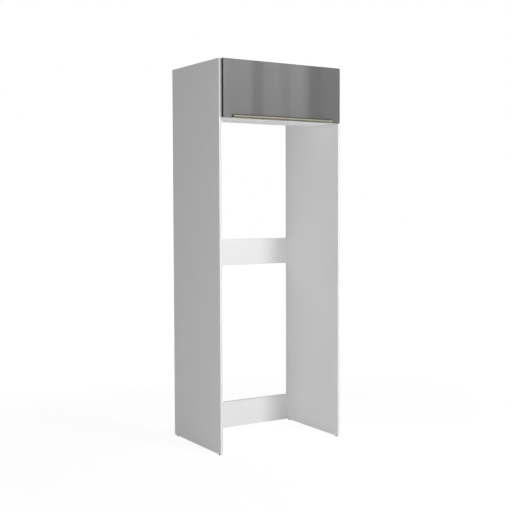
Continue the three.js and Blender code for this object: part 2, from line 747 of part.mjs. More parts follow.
// Pressed steel cup in the back of the flap, with two ears screwed on
function hingeCup(side) {
  const x = side * hingeOffset;
  const seat = doorBack + SEAM;
  const inner = CUP_RADIUS - CUP_WALL;
  const profile = [
    [0, -CUP_DEPTH - SEAM],
    [inner, -CUP_DEPTH - SEAM],
    [CUP_RADIUS, CUP_WALL - CUP_DEPTH - SEAM],
    [CUP_RADIUS, FLANGE],
    [inner, FLANGE],
    [inner, CUP_WALL - CUP_DEPTH - SEAM],
    [0, CUP_WALL - CUP_DEPTH - SEAM],
  ];
  const cup = turned(profile, [x, seat, cupHeight], [0, 1, 0], CUP_SIDES);
  const rim = turned(
    [[0, 0], [CUP_RADIUS + FLANGE_LAP, 0], [CUP_RADIUS + FLANGE_LAP, FLANGE], [0, FLANGE]],
    [x, seat, cupHeight],
    [0, 1, 0],
    CUP_SIDES,
  );
  const earOutline = strip(cupHeight, x, FLANGE_EAR_HALF, FLANGE_EAR_RADIUS, 'second');
  const ears = prism(earOutline, 'y', seat, seat + FLANGE);
  const mouth = cylinder(
    [x, seat - CUT_OVERRUN, cupHeight],
    [0, 1, 0],
    FLANGE + 2 * CUT_OVERRUN,
    inner,
    CUP_SIDES,
  );
  const cheeks = SIDES.map((end) => {
    const near = x + end * (KNUCKLE_WIDTH / 2 + KNUCKLE_PLAY);
    const [low, high] = ordered(near, x + end * CUP_RADIUS);
    return block(
      [low, seat - CUP_DEPTH, pin.z - CUP_CHEEK],
      [high, pin.y + CUP_CHEEK, cupHeight + CUP_RADIUS],
    );
  });
  const shaft = cylinder(
    [x, seat, cupHeight],
    [0, -1, 0],
    CUP_DEPTH,
    CUP_RADIUS - CUP_WALL / 2,
    CUP_SIDES,
  );
  const pinHole = cylinder(
    [x - pinHalf - SEAM, pin.y, pin.z],
    [1, 0, 0],
    2 * (pinHalf + SEAM),
    PIN_RADIUS + PIN_PLAY,
    SMALL_SIDES,
  );
  const screws = SIDES.map((ear) => domed(
    FLANGE_SCREW,
    [x + ear * FLANGE_EAR_HALF, seat + FLANGE, cupHeight],
    [0, -1, 0],
  ));
  const shell = join(cut(join(rim, ears), mouth), cup, join(...cheeks).intersect(shaft));
  return piece(`hinge_cup_${sideName(side)}`, join(cut(shell, pinHole), ...screws), FINISHES.nickel);
}

function hingePin(side) {
  const origin = [side * hingeOffset - pinHalf, pin.y, pin.z];
  const body = cylinder(origin, [1, 0, 0], 2 * pinHalf, PIN_RADIUS, SMALL_SIDES);
  return piece(`hinge_pin_${sideName(side)}`, body, FINISHES.chrome);
}

function hinges() {
  const group = new THREE.Group();
  for (const side of SIDES) {
    group.add(hingePlate(side), hingeArm(side), hingeCup(side), hingePin(side));
    group.add(piece(
      `hinge_arm_screw_${sideName(side)}`,
      domed(ARM_SCREW, armScrewPlace(side), [0, 0, 1]),
      FINISHES.nickel,
    ));
    for (const wing of SIDES) {
      group.add(piece(
        `plate_screw_${wing < 0 ? 'outer' : 'inner'}_${sideName(side)}`,
        countersunk(PLATE_SCREW, plateScrewPlace(side, -wing * side), [0, 0, 1]),
        FINISHES.zinc,
      ));
    }
  }
  return group;
}

// The flap board, bored for the cups, their screws, the brackets' screws and the pull's screws
function flapDoor() {
  const panel = board([-doorHalf, doorFront, doorBottom], [doorHalf, doorBack, doorTop], DOOR_EASE);
  const forward = [0, -1, 0];
  const mouth = doorBack + CUT_OVERRUN;
  const tools = SIDES.flatMap((side) => {
    const x = side * hingeOffset;
    const cupBore = cylinder(
      [x, mouth, cupHeight],
      forward,
      CUP_DEPTH + SEAM + CUT_OVERRUN,
      CUP_RADIUS + SEAM,
      CUP_SIDES,
    );
    const cupScrews = SIDES.map((ear) => cylinder(
      [x + ear * FLANGE_EAR_HALF, mouth, cupHeight],
      forward,
      FLANGE_SCREW.length + CUT_OVERRUN,
      FLANGE_SCREW.shank + SEAM,
      SMALL_SIDES,
    ));
    const bracketScrews = SIDES.map((end) => cylinder(
      [side * doorPlateMiddle, mouth, strutHead.z + end * DOOR_PLATE_SCREW_HALF],
      forward,
      BRACKET_SCREW.length + CUT_OVERRUN,
      BRACKET_SCREW.shank + SEAM,
      SMALL_SIDES,
    ));
    return [cupBore, ...cupScrews, ...bracketScrews];
  });
  const pullScrews = handleScrewPlaces.map(({ x }) => (
    countersink(HANDLE_SCREW, [x, doorBack, handleScrewHeight], forward)
  ));
  return piece('flap_door', cut(panel, ...tools, ...pullScrews), FINISHES.gloss);
}

// Extruded pull: a back leg, a top web with a rib for the screws and a front lip that bulges forward
function handleProfile() {
  const back = doorFront - SEAM;
  const leg = back - HANDLE_WALL;
  const rib = back - HANDLE_RIB;
  const low = doorBottom;
  const high = low + HANDLE_HEIGHT;
  const web = high - HANDLE_WALL;
  const ribLow = web - HANDLE_RIB_HEIGHT;
  const lipHalf = HANDLE_LIP_HEIGHT / 2;
  const outer = (lipHalf ** 2 + HANDLE_BOW ** 2) / (2 * HANDLE_BOW);
  const inner = outer - HANDLE_WALL;
  const centre = { y: handleFront + outer, z: high - lipHalf };
  const spread = Math.asin(lipHalf / outer);
  const meeting = Math.asin((lipHalf - HANDLE_WALL) / inner);
  const section = new THREE.Shape();
  section.moveTo(back, low);
  section.lineTo(back, high);
  section.absarc(centre.y, centre.z, outer, Math.PI - spread, Math.PI + spread, false);
  section.absarc(centre.y, centre.z, inner, Math.PI + spread, Math.PI - meeting, true);
  section.lineTo(rib, web);
  section.lineTo(rib, ribLow);
  section.lineTo(leg, ribLow);
  section.lineTo(leg, low);
  const body = prism(section, 'x', -handleHalf, handleHalf);
  const bores = handleScrewPlaces.map(({ x }) => (
    countersink(HANDLE_SCREW, [x, doorBack, handleScrewHeight], [0, -1, 0])
  ));
  return piece('handle_profile', cut(body, ...bores), FINISHES.champagne);
}

function flap() {
  const group = new THREE.Group();
  group.add(flapDoor(), handleProfile());
  for (const { name, x } of handleScrewPlaces) {
    const body = countersunk(HANDLE_SCREW, [x, doorBack, handleScrewHeight], [0, -1, 0]);
    group.add(piece(`handle_screw_${name}`, body, FINISHES.zinc));
  }
  return group;
}

// Tube of a strut, drawn upright from its lower pivot
function strutCylinder(side) {
  const eye = cylinder([-EYE_WIDTH / 2, 0, 0], [1, 0, 0], EYE_WIDTH, EYE_RADIUS);
  const neck = cylinder([0, 0, 0], [0, 0, 1], tubeStart + EDGE_EASE, EYE_NECK_RADIUS, SMALL_SIDES);
  const bore = cylinder([-EYE_WIDTH, 0, 0], [1, 0, 0], 2 * EYE_WIDTH, STUD_RADIUS + SEAM, SMALL_SIDES);
  const profile = [
    [0, tubeStart],
    [TUBE_RADIUS - TUBE_CHAMFER, tubeStart],
    [TUBE_RADIUS, tubeStart + TUBE_CHAMFER],
    [TUBE_RADIUS, tubeEnd - TUBE_CHAMFER],
    [TUBE_RADIUS - TUBE_CHAMFER, tubeEnd],
    [ROD_RADIUS + SEAM, tubeEnd],
    [ROD_RADIUS + SEAM, tubeEnd - TUBE_GLAND],
    [TUBE_BORE, tubeEnd - TUBE_GLAND],
    [TUBE_BORE, tubeStart + TUBE_FLOOR],
    [0, tubeStart + TUBE_FLOOR],
  ];
  const tube = turned(profile, [0, 0, 0], [0, 0, 1]);
  return piece(`strut_cylinder_${sideName(side)}`, cut(join(eye, neck, tube), bore), FINISHES.black);
}

// Rod of a strut with its piston inside the tube and its socket at the flap
function strutRod(side) {
  const pistonLow = tubeStart + TUBE_FLOOR + PISTON_LENGTH;
  const neckLow = strutLength - EYE_NECK_LENGTH - EYE_RADIUS;
  const profile = [
    [0, pistonLow],
    [TUBE_BORE - SEAM, pistonLow],
    [TUBE_BORE - SEAM, pistonLow + PISTON_LENGTH],
    [ROD_RADIUS, pistonLow + PISTON_LENGTH],
    [ROD_RADIUS, neckLow],
    [EYE_NECK_RADIUS, neckLow + EDGE_EASE],
    [EYE_NECK_RADIUS, strutLength],
    [0, strutLength],
  ];
  const rod = turned(profile, [0, 0, 0], [0, 0, 1], SMALL_SIDES);
  const socket = cylinder([-EYE_WIDTH / 2, 0, strutLength], [1, 0, 0], EYE_WIDTH, EYE_RADIUS);
  return piece(`strut_rod_${sideName(side)}`, join(rod, socket), FINISHES.chrome);
}

// Bracket on the side of the box, with the stud that the strut's eye turns on and its two screws
function strutSideBracket(side) {
  const plateFace = boxClear - SEAM;
  const studFace = plateFace - BRACKET_STEEL;
  const inward = [-side, 0, 0];
  const outline = strip(strutFoot.y, strutFoot.z, BRACKET_SCREW_HALF, BRACKET_RADIUS, 'second');
  const plate = prism(outline, 'x', ...ordered(side * studFace, side * plateFace));
  const pivot = (x) => [side * x, strutFoot.y, strutFoot.z];
  const collar = cylinder(pivot(plateFace), inward, plateFace - eyeOuter - SEAM, STUD_COLLAR);
  const stud = cylinder(pivot(plateFace), inward, plateFace - eyeInner + SEAM, STUD_RADIUS, SMALL_SIDES);
  const head = cylinder(pivot(eyeInner - SEAM), inward, STUD_HEAD_LENGTH, STUD_COLLAR);
  const screws = SIDES.map((end) => domed(
    BRACKET_SCREW,
    [side * studFace, strutFoot.y, strutFoot.z + end * BRACKET_SCREW_HALF],
    [side, 0, 0],
  ));
  const body = join(plate, collar, stud, head, ...screws);
  return piece(`strut_side_bracket_${sideName(side)}`, body, FINISHES.zinc);
}

// Angle bracket on the back of the flap: a foot with two screws, and an ear whose stud meets the rod
function strutDoorBracket(side) {
  const seat = doorBack + SEAM;
  const foot = block(...sided(
    side,
    doorPlateInner,
    doorEarOuter,
    seat,
    seat + BRACKET_STEEL,
    strutHead.z - DOOR_PLATE_HALF,
    strutHead.z + DOOR_PLATE_HALF,
  ));
  const ear = new THREE.Shape();
  ear.moveTo(seat, strutHead.z - DOOR_PLATE_HALF);
  ear.lineTo(strutHead.y, strutHead.z - DOOR_EAR_HALF);
  ear.absarc(strutHead.y, strutHead.z, DOOR_EAR_HALF, -Math.PI / 2, Math.PI / 2, false);
  ear.lineTo(seat, strutHead.z + DOOR_PLATE_HALF);
  const earPlate = prism(ear, 'x', ...ordered(side * doorEarInner, side * doorEarOuter));
  const stud = cylinder(
    [side * doorEarInner, strutHead.y, strutHead.z],
    [side, 0, 0],
    2 * BRACKET_STEEL,
    STUD_COLLAR,
  );
  const screws = SIDES.map((end) => domed(
    BRACKET_SCREW,
    [side * doorPlateMiddle, seat + BRACKET_STEEL, strutHead.z + end * DOOR_PLATE_SCREW_HALF],
    [0, -1, 0],
  ));
  const body = join(foot, earPlate, stud, ...screws);
  return piece(`strut_door_bracket_${sideName(side)}`, body, FINISHES.zinc);
}

function gasStruts() {
  const group = new THREE.Group();
  for (const side of SIDES) {
    const strut = new THREE.Group();
    strut.add(strutCylinder(side), strutRod(side));
    strut.position.set(side * strutOffset, strutFoot.y, strutFoot.z);
    strut.rotation.x = strutLean;
    group.add(strut, strutSideBracket(side), strutDoorBracket(side));
  }
  return group;
}

const unit = new THREE.Group();
unit.add(tower(), upperCabinet(), hinges(), flap(), gasStruts());
unit.position.y = -(handleFront + PANEL_DEPTH) / 2;

export default unit;
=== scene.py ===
# %% [markdown]
# # A fridge housing unit
# Two tall white panels stand on glides on both sides of a fridge. Rails brace them at the back, and a
# shallow cabinet with one lift-up flap joins them at the top. The CAD model gives every piece its place
# and its motion. This lesson gives the pieces their finish, and models again those whose detail shows.
#
# Loading comes first: everything later asks the frame for the place of a board, a hinge or a strut, so
# that no place has to be typed twice.

# %% Load the CAD frame
import json
import math

import bmesh
import bpy
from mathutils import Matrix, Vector


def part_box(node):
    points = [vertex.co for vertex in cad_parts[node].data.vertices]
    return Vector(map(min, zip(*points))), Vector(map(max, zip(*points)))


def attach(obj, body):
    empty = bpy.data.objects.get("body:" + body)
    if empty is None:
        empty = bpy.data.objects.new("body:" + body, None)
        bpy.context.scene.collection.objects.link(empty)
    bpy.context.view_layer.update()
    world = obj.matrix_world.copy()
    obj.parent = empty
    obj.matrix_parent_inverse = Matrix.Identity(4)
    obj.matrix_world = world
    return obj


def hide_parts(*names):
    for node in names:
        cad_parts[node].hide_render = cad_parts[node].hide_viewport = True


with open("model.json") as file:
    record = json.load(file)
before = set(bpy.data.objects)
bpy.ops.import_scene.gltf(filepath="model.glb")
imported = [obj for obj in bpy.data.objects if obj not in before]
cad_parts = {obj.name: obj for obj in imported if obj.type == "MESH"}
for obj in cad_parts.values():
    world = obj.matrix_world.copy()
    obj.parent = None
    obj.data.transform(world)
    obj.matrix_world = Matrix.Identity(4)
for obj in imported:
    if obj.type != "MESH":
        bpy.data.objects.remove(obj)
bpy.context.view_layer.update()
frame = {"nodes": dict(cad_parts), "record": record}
print("CAD nodes:", len(frame["nodes"]))

# %% [markdown]
# ## The camera
# The photograph looks at the unit from its front left, at chest height. A camera can be placed by eye, but
# parallel edges that run away from the viewer give its distance and its lens once one size of the object
# is known, so these numbers were worked out from the panels' edges. The picture was cut out beside the
# middle of the original frame, and the lens shift says by how much.

# %% Camera
CAMERA_PLACE = (-2.8745, -4.966, 1.3885)
CAMERA_TILT = math.radians(90 - 2.77)
CAMERA_PAN = math.radians(-33.86)
FOCAL_PIXELS = 967.5
PICTURE = 512  # pixels across and up
AXIS_PIXEL = (321.9, 251.0)  # where the lens points
SENSOR = 36  # millimetres

lens = bpy.data.cameras.new("photo_camera")
lens.sensor_width = SENSOR
lens.lens = FOCAL_PIXELS * SENSOR / PICTURE
lens.shift_x = (PICTURE / 2 - AXIS_PIXEL[0]) / PICTURE
lens.shift_y = (AXIS_PIXEL[1] - PICTURE / 2) / PICTURE
camera = bpy.data.objects.new("photo_camera", lens)
camera.location = CAMERA_PLACE
camera.rotation_euler = (CAMERA_TILT, 0, CAMERA_PAN)
bpy.context.scene.collection.objects.link(camera)
bpy.context.scene.camera = camera
print("lens", round(lens.lens, 2), "mm, shift", round(lens.shift_x, 4), round(lens.shift_y, 4))

# %% [markdown]
# ## Shader maths that reads like arithmetic
# A finish is a net of small nodes. It could be wired by hand in the shader editor, but then nobody sees
# what it works out. Here one class wraps a socket: a sum or a product of wrapped sockets adds the Math
# node that it stands for, and every other node comes from `add`, which takes its settings and what its
# sockets get.

# %% A wrapped socket


class Flow:
    """A socket in a net of nodes. Sums and products of it add Math nodes, and add() adds any other node."""

    def __init__(self, tree, socket=None):
        self.tree = tree
        self.socket = socket

    def add(self, kind, settings=None, inputs=None, output=0):
        node = self.tree.nodes.new(kind)
        for name, value in (settings or {}).items():
            if name == "stops":
                ramp = node.color_ramp
                while len(ramp.elements) < len(value):
                    ramp.elements.new(1)
                for element, (place, colour) in zip(ramp.elements, value):
                    element.position = place
                    element.color = colour
            else:
                setattr(node, name, value)
        for name, value in (inputs or {}).items():
            if isinstance(value, Flow):
                self.tree.links.new(value.socket, node.inputs[name])
            else:
                node.inputs[name].default_value = value
        return Flow(self.tree, node.outputs[output] if node.outputs else None)

    def math(self, operation, *values):
        return self.add("ShaderNodeMath", {"operation": operation}, dict(enumerate(values)))

    def __add__(self, other):
        return self.math("ADD", self, other)

    def __radd__(self, other):
        return self.math("ADD", other, self)

    def __mul__(self, other):
        return self.math("MULTIPLY", self, other)

    def __rmul__(self, other):
        return self.math("MULTIPLY", other, self)


print("made the class", Flow.__name__)

# %% [markdown]
# A colour is usually written as three numbers from 0 to 255, but a shader takes amounts of light. The
# amounts could be typed, but nobody sees a grey in them, so the usual numbers stay and one function turns
# them.

# %% Colours as light


def linear(colour):
    """A colour of three numbers from 0 to 255 as the light that a shader takes, by the sRGB curve."""
    shares = [value / 255 for value in colour]
    light = [s / 12.92 if s <= 0.04045 else ((s + 0.055) / 1.055) ** 2.4 for s in shares]
    return (*light, 1)


print("mid grey as light:", [round(v, 3) for v in linear((128, 128, 128))])

# %% [markdown]
# ## The outline of a finish
# Every finish has the same outline: a Principled shader whose fixed values sit on its own sockets, and
# three patterns on top: how the colour varies, how the gloss varies, and how the surface undulates. One
# even value for each would be quicker, but no real surface is even.

# %% Start a finish
FINISHES = {}


def start_finish(name, fixed=None):
    """A new finish with these fixed values. Returns its shader, and a Flow to add nodes with."""
    material = bpy.data.materials.new(name)
    material.use_nodes = True
    FINISHES[name] = material
    shader = material.node_tree.nodes["Principled BSDF"]
    for socket, value in (fixed or {}).items():
        shader.inputs[socket].default_value = value
    return shader, Flow(material.node_tree)


print("finishes so far:", len(FINISHES))

# %% [markdown]
# A pattern could come from a picture, but a picture has to be laid on each piece, while noise needs only a
# place and a size. Here it reads Object coordinates, so it is measured in metres and lies still on the
# piece. Colours are blended by a Mix node, which has sockets of its own for each kind of value.

# %% Patterns and their sockets
COLOUR_A = 6  # the Mix node's sockets for colours
COLOUR_B = 7
COLOUR_RESULT = 2


def place_of(flow, stretch=(1, 1, 1)):
    """Object coordinates. A small number draws the pattern out along its axis, as grain or brushing."""
    coordinates = flow.add("ShaderNodeTexCoord", output="Object")
    return flow.add("ShaderNodeMapping", None, {"Vector": coordinates, "Scale": stretch})


def noise(flow, place, size, detail=2.0):
    """Soft noise from 0 to 1 whose blobs are about `size` metres across."""
    return flow.add("ShaderNodeTexNoise", None, {"Vector": place, "Scale": 1 / size, "Detail": detail})


def between(low, high, share):
    """The low number where share is 0 and the high one where it is 1."""
    return low + (high - low) * share


def blend_colour(flow, share, first, second):
    """The first colour where share is 0 and the second where it is 1."""
    inputs = {"Factor": share, COLOUR_A: first, COLOUR_B: second}
    return flow.add("ShaderNodeMix", {"data_type": "RGBA"}, inputs, COLOUR_RESULT)


def connect(flow, shader, colour, roughness, height, depth):
    """Feeds the varying colour, roughness and height to the shader. depth is the bumps' height in metres."""
    bump = flow.add("ShaderNodeBump", None, {"Height": height, "Distance": depth})
    for socket, value in (("Base Color", colour), ("Roughness", roughness), ("Normal", bump)):
        flow.tree.links.new(value.socket, shader.inputs[socket])


print("halfway from 2 to 4 is", between(2, 4, 0.5))

# %% [markdown]
# ## The boards' finish
# Melamine paper is pressed on chipboard under a steel plate, which leaves a fine pearl texture: tiny flat
# bumps about a millimetre apart. A plain white would do from far away, but a real white is never even. So
# a slow cloud shifts it by a hair and changes the gloss, as handling does, and a fine noise makes the
# pearl.

# %% Melamine


def faced(name, dark, light, rough, cloud, relief, depth, stretch=(1, 1, 1), fixed=None):
    """A flat face: its cloud shifts colour and gloss, its relief is the touch. Each is (size, detail)."""
    shader, flow = start_finish(name, fixed)
    slow = noise(flow, place_of(flow), *cloud)
    fine = noise(flow, place_of(flow, stretch), *relief)
    colour = blend_colour(flow, slow, linear(dark), linear(light))
    connect(flow, shader, colour, between(*rough, slow), fine, depth)
    print("made", name)


faced(
    "melamine",
    dark=(240, 240, 240),
    light=(244, 244, 244),
    rough=(0.4, 0.54),
    cloud=(0.18, 3.0),
    relief=(0.0011, 1.0),
    depth=0.00006,
    fixed={"Specular IOR Level": 0.3},
)

# %% [markdown]
# The thin back sheet is hardboard with a white lacquered face. It is duller than melamine and shows the
# faint weave of the screen it was pressed on. A picture of a weave could do this, but two crossed waves
# need no file and have the right size at once.

# %% Back sheet
shader, flow = start_finish("back_sheet", {"Specular IOR Level": 0.3})
place = place_of(flow)
threads = {"Vector": place, "Scale": 150, "Distortion": 0.4}
across = flow.add("ShaderNodeTexWave", {"bands_direction": "X"}, threads, "Fac")
upward = flow.add("ShaderNodeTexWave", {"bands_direction": "Z"}, threads, "Fac")
cloud = noise(flow, place, size=0.12)
white = blend_colour(flow, cloud, linear((232, 232, 228)), linear((240, 240, 237)))
connect(flow, shader, white, between(0.55, 0.7, cloud), across * upward, depth=0.00005)
print("made back_sheet")

# %% [markdown]
# ## The flap's finish
# The grey front is a high-gloss lacquer: a coloured base under a clear coat. Low roughness alone would
# mirror in the base itself, so the shader's own coat is used. A clear coat mirrors the room, so it takes
# almost no colour pattern, only a very slow change of tone, and the long shallow waves that lacquer keeps
# when it dries.

# %% Gloss lacquer
faced(
    "gloss_lacquer",
    dark=(89, 89, 89),
    light=(94, 94, 94),
    rough=(0.22, 0.3),
    cloud=(0.3, 2.0),
    relief=(0.02, 1.0),
    depth=0.00001,
    fixed={"Specular IOR Level": 0.0, "Coat Weight": 1.0, "Coat Roughness": 0.03, "Coat IOR": 1.5},
)

# %% [markdown]
# ## Metals
# Anodised aluminium keeps the fine lines of the die that it was pressed through, so its noise is drawn out
# along the profile. Plated fittings have a cloudy bloom instead, and the chromed rods keep faint lines
# along them. Each metal could have a net of nodes of its own. But only the numbers differ, so one loop
# makes them all from one row for each.

# %% Metals
METALS = [  # name, dark, light, roughness, stretch, size of the grain, its depth
    ("champagne", (156, 153, 139), (170, 167, 153), (0.26, 0.42), (0.02, 1, 1), 0.0006, 0.00002),
    ("nickel", (178, 179, 181), (202, 203, 205), (0.24, 0.32), (1, 1, 1), 0.003, 0.000005),
    ("zinc", (150, 152, 156), (184, 184, 180), (0.34, 0.52), (1, 1, 1), 0.0012, 0.00004),
    ("chrome", (208, 210, 213), (222, 223, 226), (0.06, 0.14), (1, 1, 0.02), 0.0004, 0.000004),
]
for name, dark, light, rough, stretch, size, depth in METALS:
    shader, flow = start_finish(name, {"Metallic": 1.0})
    cloud = noise(flow, place_of(flow), size=0.02)
    grain = noise(flow, place_of(flow, stretch), size, detail=3.0)
    colour = blend_colour(flow, cloud, linear(dark), linear(light))
    connect(flow, shader, colour, between(*rough, grain), grain, depth)
    print("made", name)

# %% [markdown]
# ## Paint, plastic, rubber and wood
# The black strut tubes are powder coated, with an orange-peel skin. Their sockets, the glides and the soft
# buffers are moulded. A bump picture could give their skin, but noise of the right size needs no file. So
# a slow cloud shifts the colour, and a fine peel shifts gloss and touch.

# %% Paint and plastics
SKINS = [  # name, dark, light, roughness, size of the peel, its depth, how clear
    ("strut_black", (24, 24, 26), (32, 32, 34), (0.3, 0.45), 0.0009, 0.00004, 0),
    ("socket", (30, 30, 31), (40, 40, 41), (0.5, 0.65), 0.0006, 0.00004, 0),
    ("glide", (66, 58, 50), (80, 71, 61), (0.45, 0.6), 0.0007, 0.00003, 0),
    ("silicone", (222, 223, 222), (236, 236, 235), (0.3, 0.42), 0.0012, 0.00003, 0.35),
]
for name, dark, light, rough, size, depth, clear in SKINS:
    shader, flow = start_finish(name, {"Transmission Weight": clear})
    cloud = noise(flow, place_of(flow), size=0.015)
    peel = noise(flow, place_of(flow), size)
    colour = blend_colour(flow, cloud, linear(dark), linear(light))
    connect(flow, shader, colour, between(*rough, peel), peel, depth)
    print("made", name)

# %% [markdown]
# Beech dowels show short flecks along their length. Round noise that is drawn out along the dowel gives
# them with one node, and rings or a grain picture would be lost on a piece so small.

# %% Beech
shader, flow = start_finish("beech")
grain = noise(flow, place_of(flow, stretch=(0.08, 1, 1)), size=0.0012, detail=4.0)
wood = blend_colour(flow, grain, linear((186, 150, 108)), linear((220, 190, 150)))
connect(flow, shader, wood, between(0.6, 0.8, grain), grain, depth=0.0001)
print("made beech")

# %% [markdown]
# ## Dressing the CAD nodes
# Where the CAD shape is already the real one, the node stays and only gets its finish. The record says
# which slot each node belongs to, and the finishes carry the slots' names, so a loop does it and forgets
# none.

# %% Dress the nodes
slot_of = {part["node"]: part["material_slot"] for part in frame["record"]["subparts"]}
for name, node in frame["nodes"].items():
    node.data.materials.clear()
    node.data.materials.append(FINISHES[slot_of[name]])
print("dressed", len(slot_of), "nodes")

# %% [markdown]
# ## Tools for modelling
# In Blender's window one clicks on a piece before using an operator on it. Without a window the same is
# done by selecting in code. Deselecting first keeps the operators away from everything else, and a small
# function for each of these habits keeps the lines that make a shape free of them.

# %% Select, open and name


def bare():
    """Leaves edit mode and deselects everything."""
    if bpy.context.mode != "OBJECT":
        bpy.ops.object.mode_set(mode="OBJECT")
    bpy.ops.object.select_all(action="DESELECT")


def take(piece):
    """Selects this piece alone and makes it the active one."""
    bare()
    piece.select_set(True)
    bpy.context.view_layer.objects.active = piece


def edit(piece):
    """Opens this piece in edit mode, with all of its mesh selected."""
    take(piece)
    bpy.ops.object.mode_set(mode="EDIT")
    bpy.ops.mesh.select_all(action="SELECT")


def named(name):
    """Names the primitive that was just added and writes its place, turn and scale into its mesh."""
    piece = bpy.context.active_object
    piece.name = name
    bpy.ops.object.transform_apply(location=True, rotation=True, scale=True)
    return piece


bare()
print("selected pieces:", len(bpy.context.selected_objects))

# %% [markdown]
# Cuts and bevels are modifiers that are applied at once, so that the next step finds a plain mesh. They
# can leave corners almost on top of each other, which is no fault to the eye but makes a mesh that isn't
# closed. Such corners could be hunted one by one. Merging all that are closer than any real detail is
# simpler.

# %% Modify and merge
CLOSE = 0.000005  # metres: corners nearer than this are one


def modify(piece, kind, **settings):
    """Adds a modifier with these settings and applies it."""
    take(piece)
    modifier = piece.modifiers.new(kind, kind)
    for name, value in settings.items():
        setattr(modifier, name, value)
    bpy.ops.object.modifier_apply(modifier=modifier.name)
    return piece


def merge_close(piece):
    """Merges corners that lie within a few thousandths of a millimetre."""
    edit(piece)
    bpy.ops.mesh.remove_doubles(threshold=CLOSE)
    bpy.ops.mesh.dissolve_degenerate(threshold=CLOSE)
    bpy.ops.object.mode_set(mode="OBJECT")


def recalculate(piece):
    """Points all the faces outwards."""
    edit(piece)
    bpy.ops.mesh.normals_make_consistent(inside=False)
    bpy.ops.object.mode_set(mode="OBJECT")


print("corners merge below", CLOSE * 1000, "mm")

# %% [markdown]
# A finished piece gets its paint, smooth round stretches, and flat faces that keep their own normals. Then
# it takes the place of its CAD node and rides on the node's body, so that it moves as the CAD piece does.
# Making the piece a child of the node would also move it, but the record's bodies are what the motion is
# made of.

# %% Paint and hand over
SMOOTH_BELOW = math.radians(35)
body_of = {node: body for body, nodes in frame["record"]["behaviour"]["bodies"].items() for node in nodes}


def paint(piece, slot, *coats):
    """The slot's finish all over, then each coat (finish, test) on faces whose middle passes the test."""
    piece.data.materials.clear()
    piece.data.materials.append(FINISHES[slot])
    for face in piece.data.polygons:
        face.material_index = 0
    for finish, test in coats:
        piece.data.materials.append(FINISHES[finish])
        for face in piece.data.polygons:
            if test(face.center):
                face.material_index = len(piece.data.materials) - 1


def hand_over(piece, node):
    """The piece takes the place of this CAD node and rides on its body."""
    piece.name = node + "_dressed"
    take(piece)
    bpy.ops.object.shade_smooth_by_angle(angle=SMOOTH_BELOW)
    modify(piece, "WEIGHTED_NORMAL", keep_sharp=True)
    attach(piece, body_of[node])
    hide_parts(node)


print("bodies:", sorted(set(body_of.values())))

# %% [markdown]
# Boards and hidden fittings have the right shape already, with every bore in its place. New boxes could be
# drilled again, but a copy of the CAD node can't differ from it. A CAD node's mesh is loose triangles.
# Merging them makes one skin, and joining the triangles of each flat face gives back the few large faces
# that a modeller would draw.

# %% Copies of CAD nodes
LOOSE = 0.000002  # metres: how near the corners of loose triangles meet
FLAT = math.radians(0.5)  # faces that differ by less are one flat face


def copy_node(name):
    """A copy of a CAD node as one skin. The node itself stays as it is."""
    piece = bpy.data.objects.new(name + "_dressed", frame["nodes"][name].data.copy())
    bpy.context.scene.collection.objects.link(piece)
    edit(piece)
    bpy.ops.mesh.remove_doubles(threshold=LOOSE)
    bpy.ops.object.mode_set(mode="OBJECT")
    return piece


def flatten(piece):
    """Joins the triangles of each flat face again, up to where its finish changes."""
    merge_close(piece)
    edit(piece)
    bpy.ops.mesh.dissolve_limited(angle_limit=FLAT, delimit={"MATERIAL"})
    recalculate(piece)


print("nodes to copy from:", len(frame["nodes"]))

# %% [markdown]
# ## Banded boards
# A melamine board is sawn out of a large sheet, so its edges are raw chips until a thin strip of plastic
# is glued on. The strip's thickness shows as a fine line beside each edge, with a hair of glue next to it.
# Strips could be modelled as pieces of their own, but cutting the board's faces along that line lets the
# strip and the glue take their finish while the CAD shape stays as it is.

# %% Edge band, glue and chips
faced(
    "edge_band",
    dark=(219, 219, 218),
    light=(224, 224, 223),
    rough=(0.34, 0.46),
    cloud=(0.15, 2.0),
    relief=(0.0006, 1.0),
    depth=0.00002,
    stretch=(1, 1, 0.05),
    fixed={"Specular IOR Level": 0.3},
)
faced(
    "glue_line",
    dark=(206, 202, 190),
    light=(226, 223, 214),
    rough=(0.5, 0.7),
    cloud=(0.01, 2.0),
    relief=(0.01, 2.0),
    depth=0.00005,
)

shader, flow = start_finish("chipboard", {"Specular IOR Level": 0.25})
place = place_of(flow, stretch=(1, 1, 2.5))
chips = flow.add("ShaderNodeTexVoronoi", None, {"Vector": place, "Scale": 420}, "Color")
grey_chips = flow.add("ShaderNodeRGBToBW", None, {"Color": chips})
dust = noise(flow, place, size=0.0008, detail=3.0)
wood = blend_colour(flow, grey_chips, linear((168, 132, 92)), linear((214, 184, 142)))
connect(flow, shader, wood, between(0.75, 0.95, dust), grey_chips + dust, depth=0.0002)
print("made chipboard")

# %% [markdown]
# Two planes cut the faces beside each banded edge: one where the strip ends, and one where the glue ends.
# In Blender's window a knife would do it, but the bisect operator takes its plane from the board's own
# box, so the lines lie right at any size.

# %% Cut along the bands
BAND = 0.0008  # thickness of the strip
GLUE = 0.00015
LOW_CORNER = 0  # of the eight corners of a bound_box
HIGH_CORNER = 6


def band_edges(piece, edges):
    """Cuts the faces along each band and each glue line. An edge is (axis, which end of it)."""
    low = Vector(piece.bound_box[LOW_CORNER])
    high = Vector(piece.bound_box[HIGH_CORNER])
    edit(piece)
    for axis, end in edges:
        for inward in (BAND, BAND + GLUE):
            spot = Vector(low if end < 0 else high)
            spot[axis] -= end * inward
            across = Vector((0, 0, 0))
            across[axis] = 1
            bpy.ops.mesh.select_all(action="SELECT")
            bpy.ops.mesh.bisect(plane_co=spot, plane_no=across)
    bpy.ops.object.mode_set(mode="OBJECT")
    return low, high


print("strip", BAND * 1000, "mm, glue", GLUE * 1000, "mm")

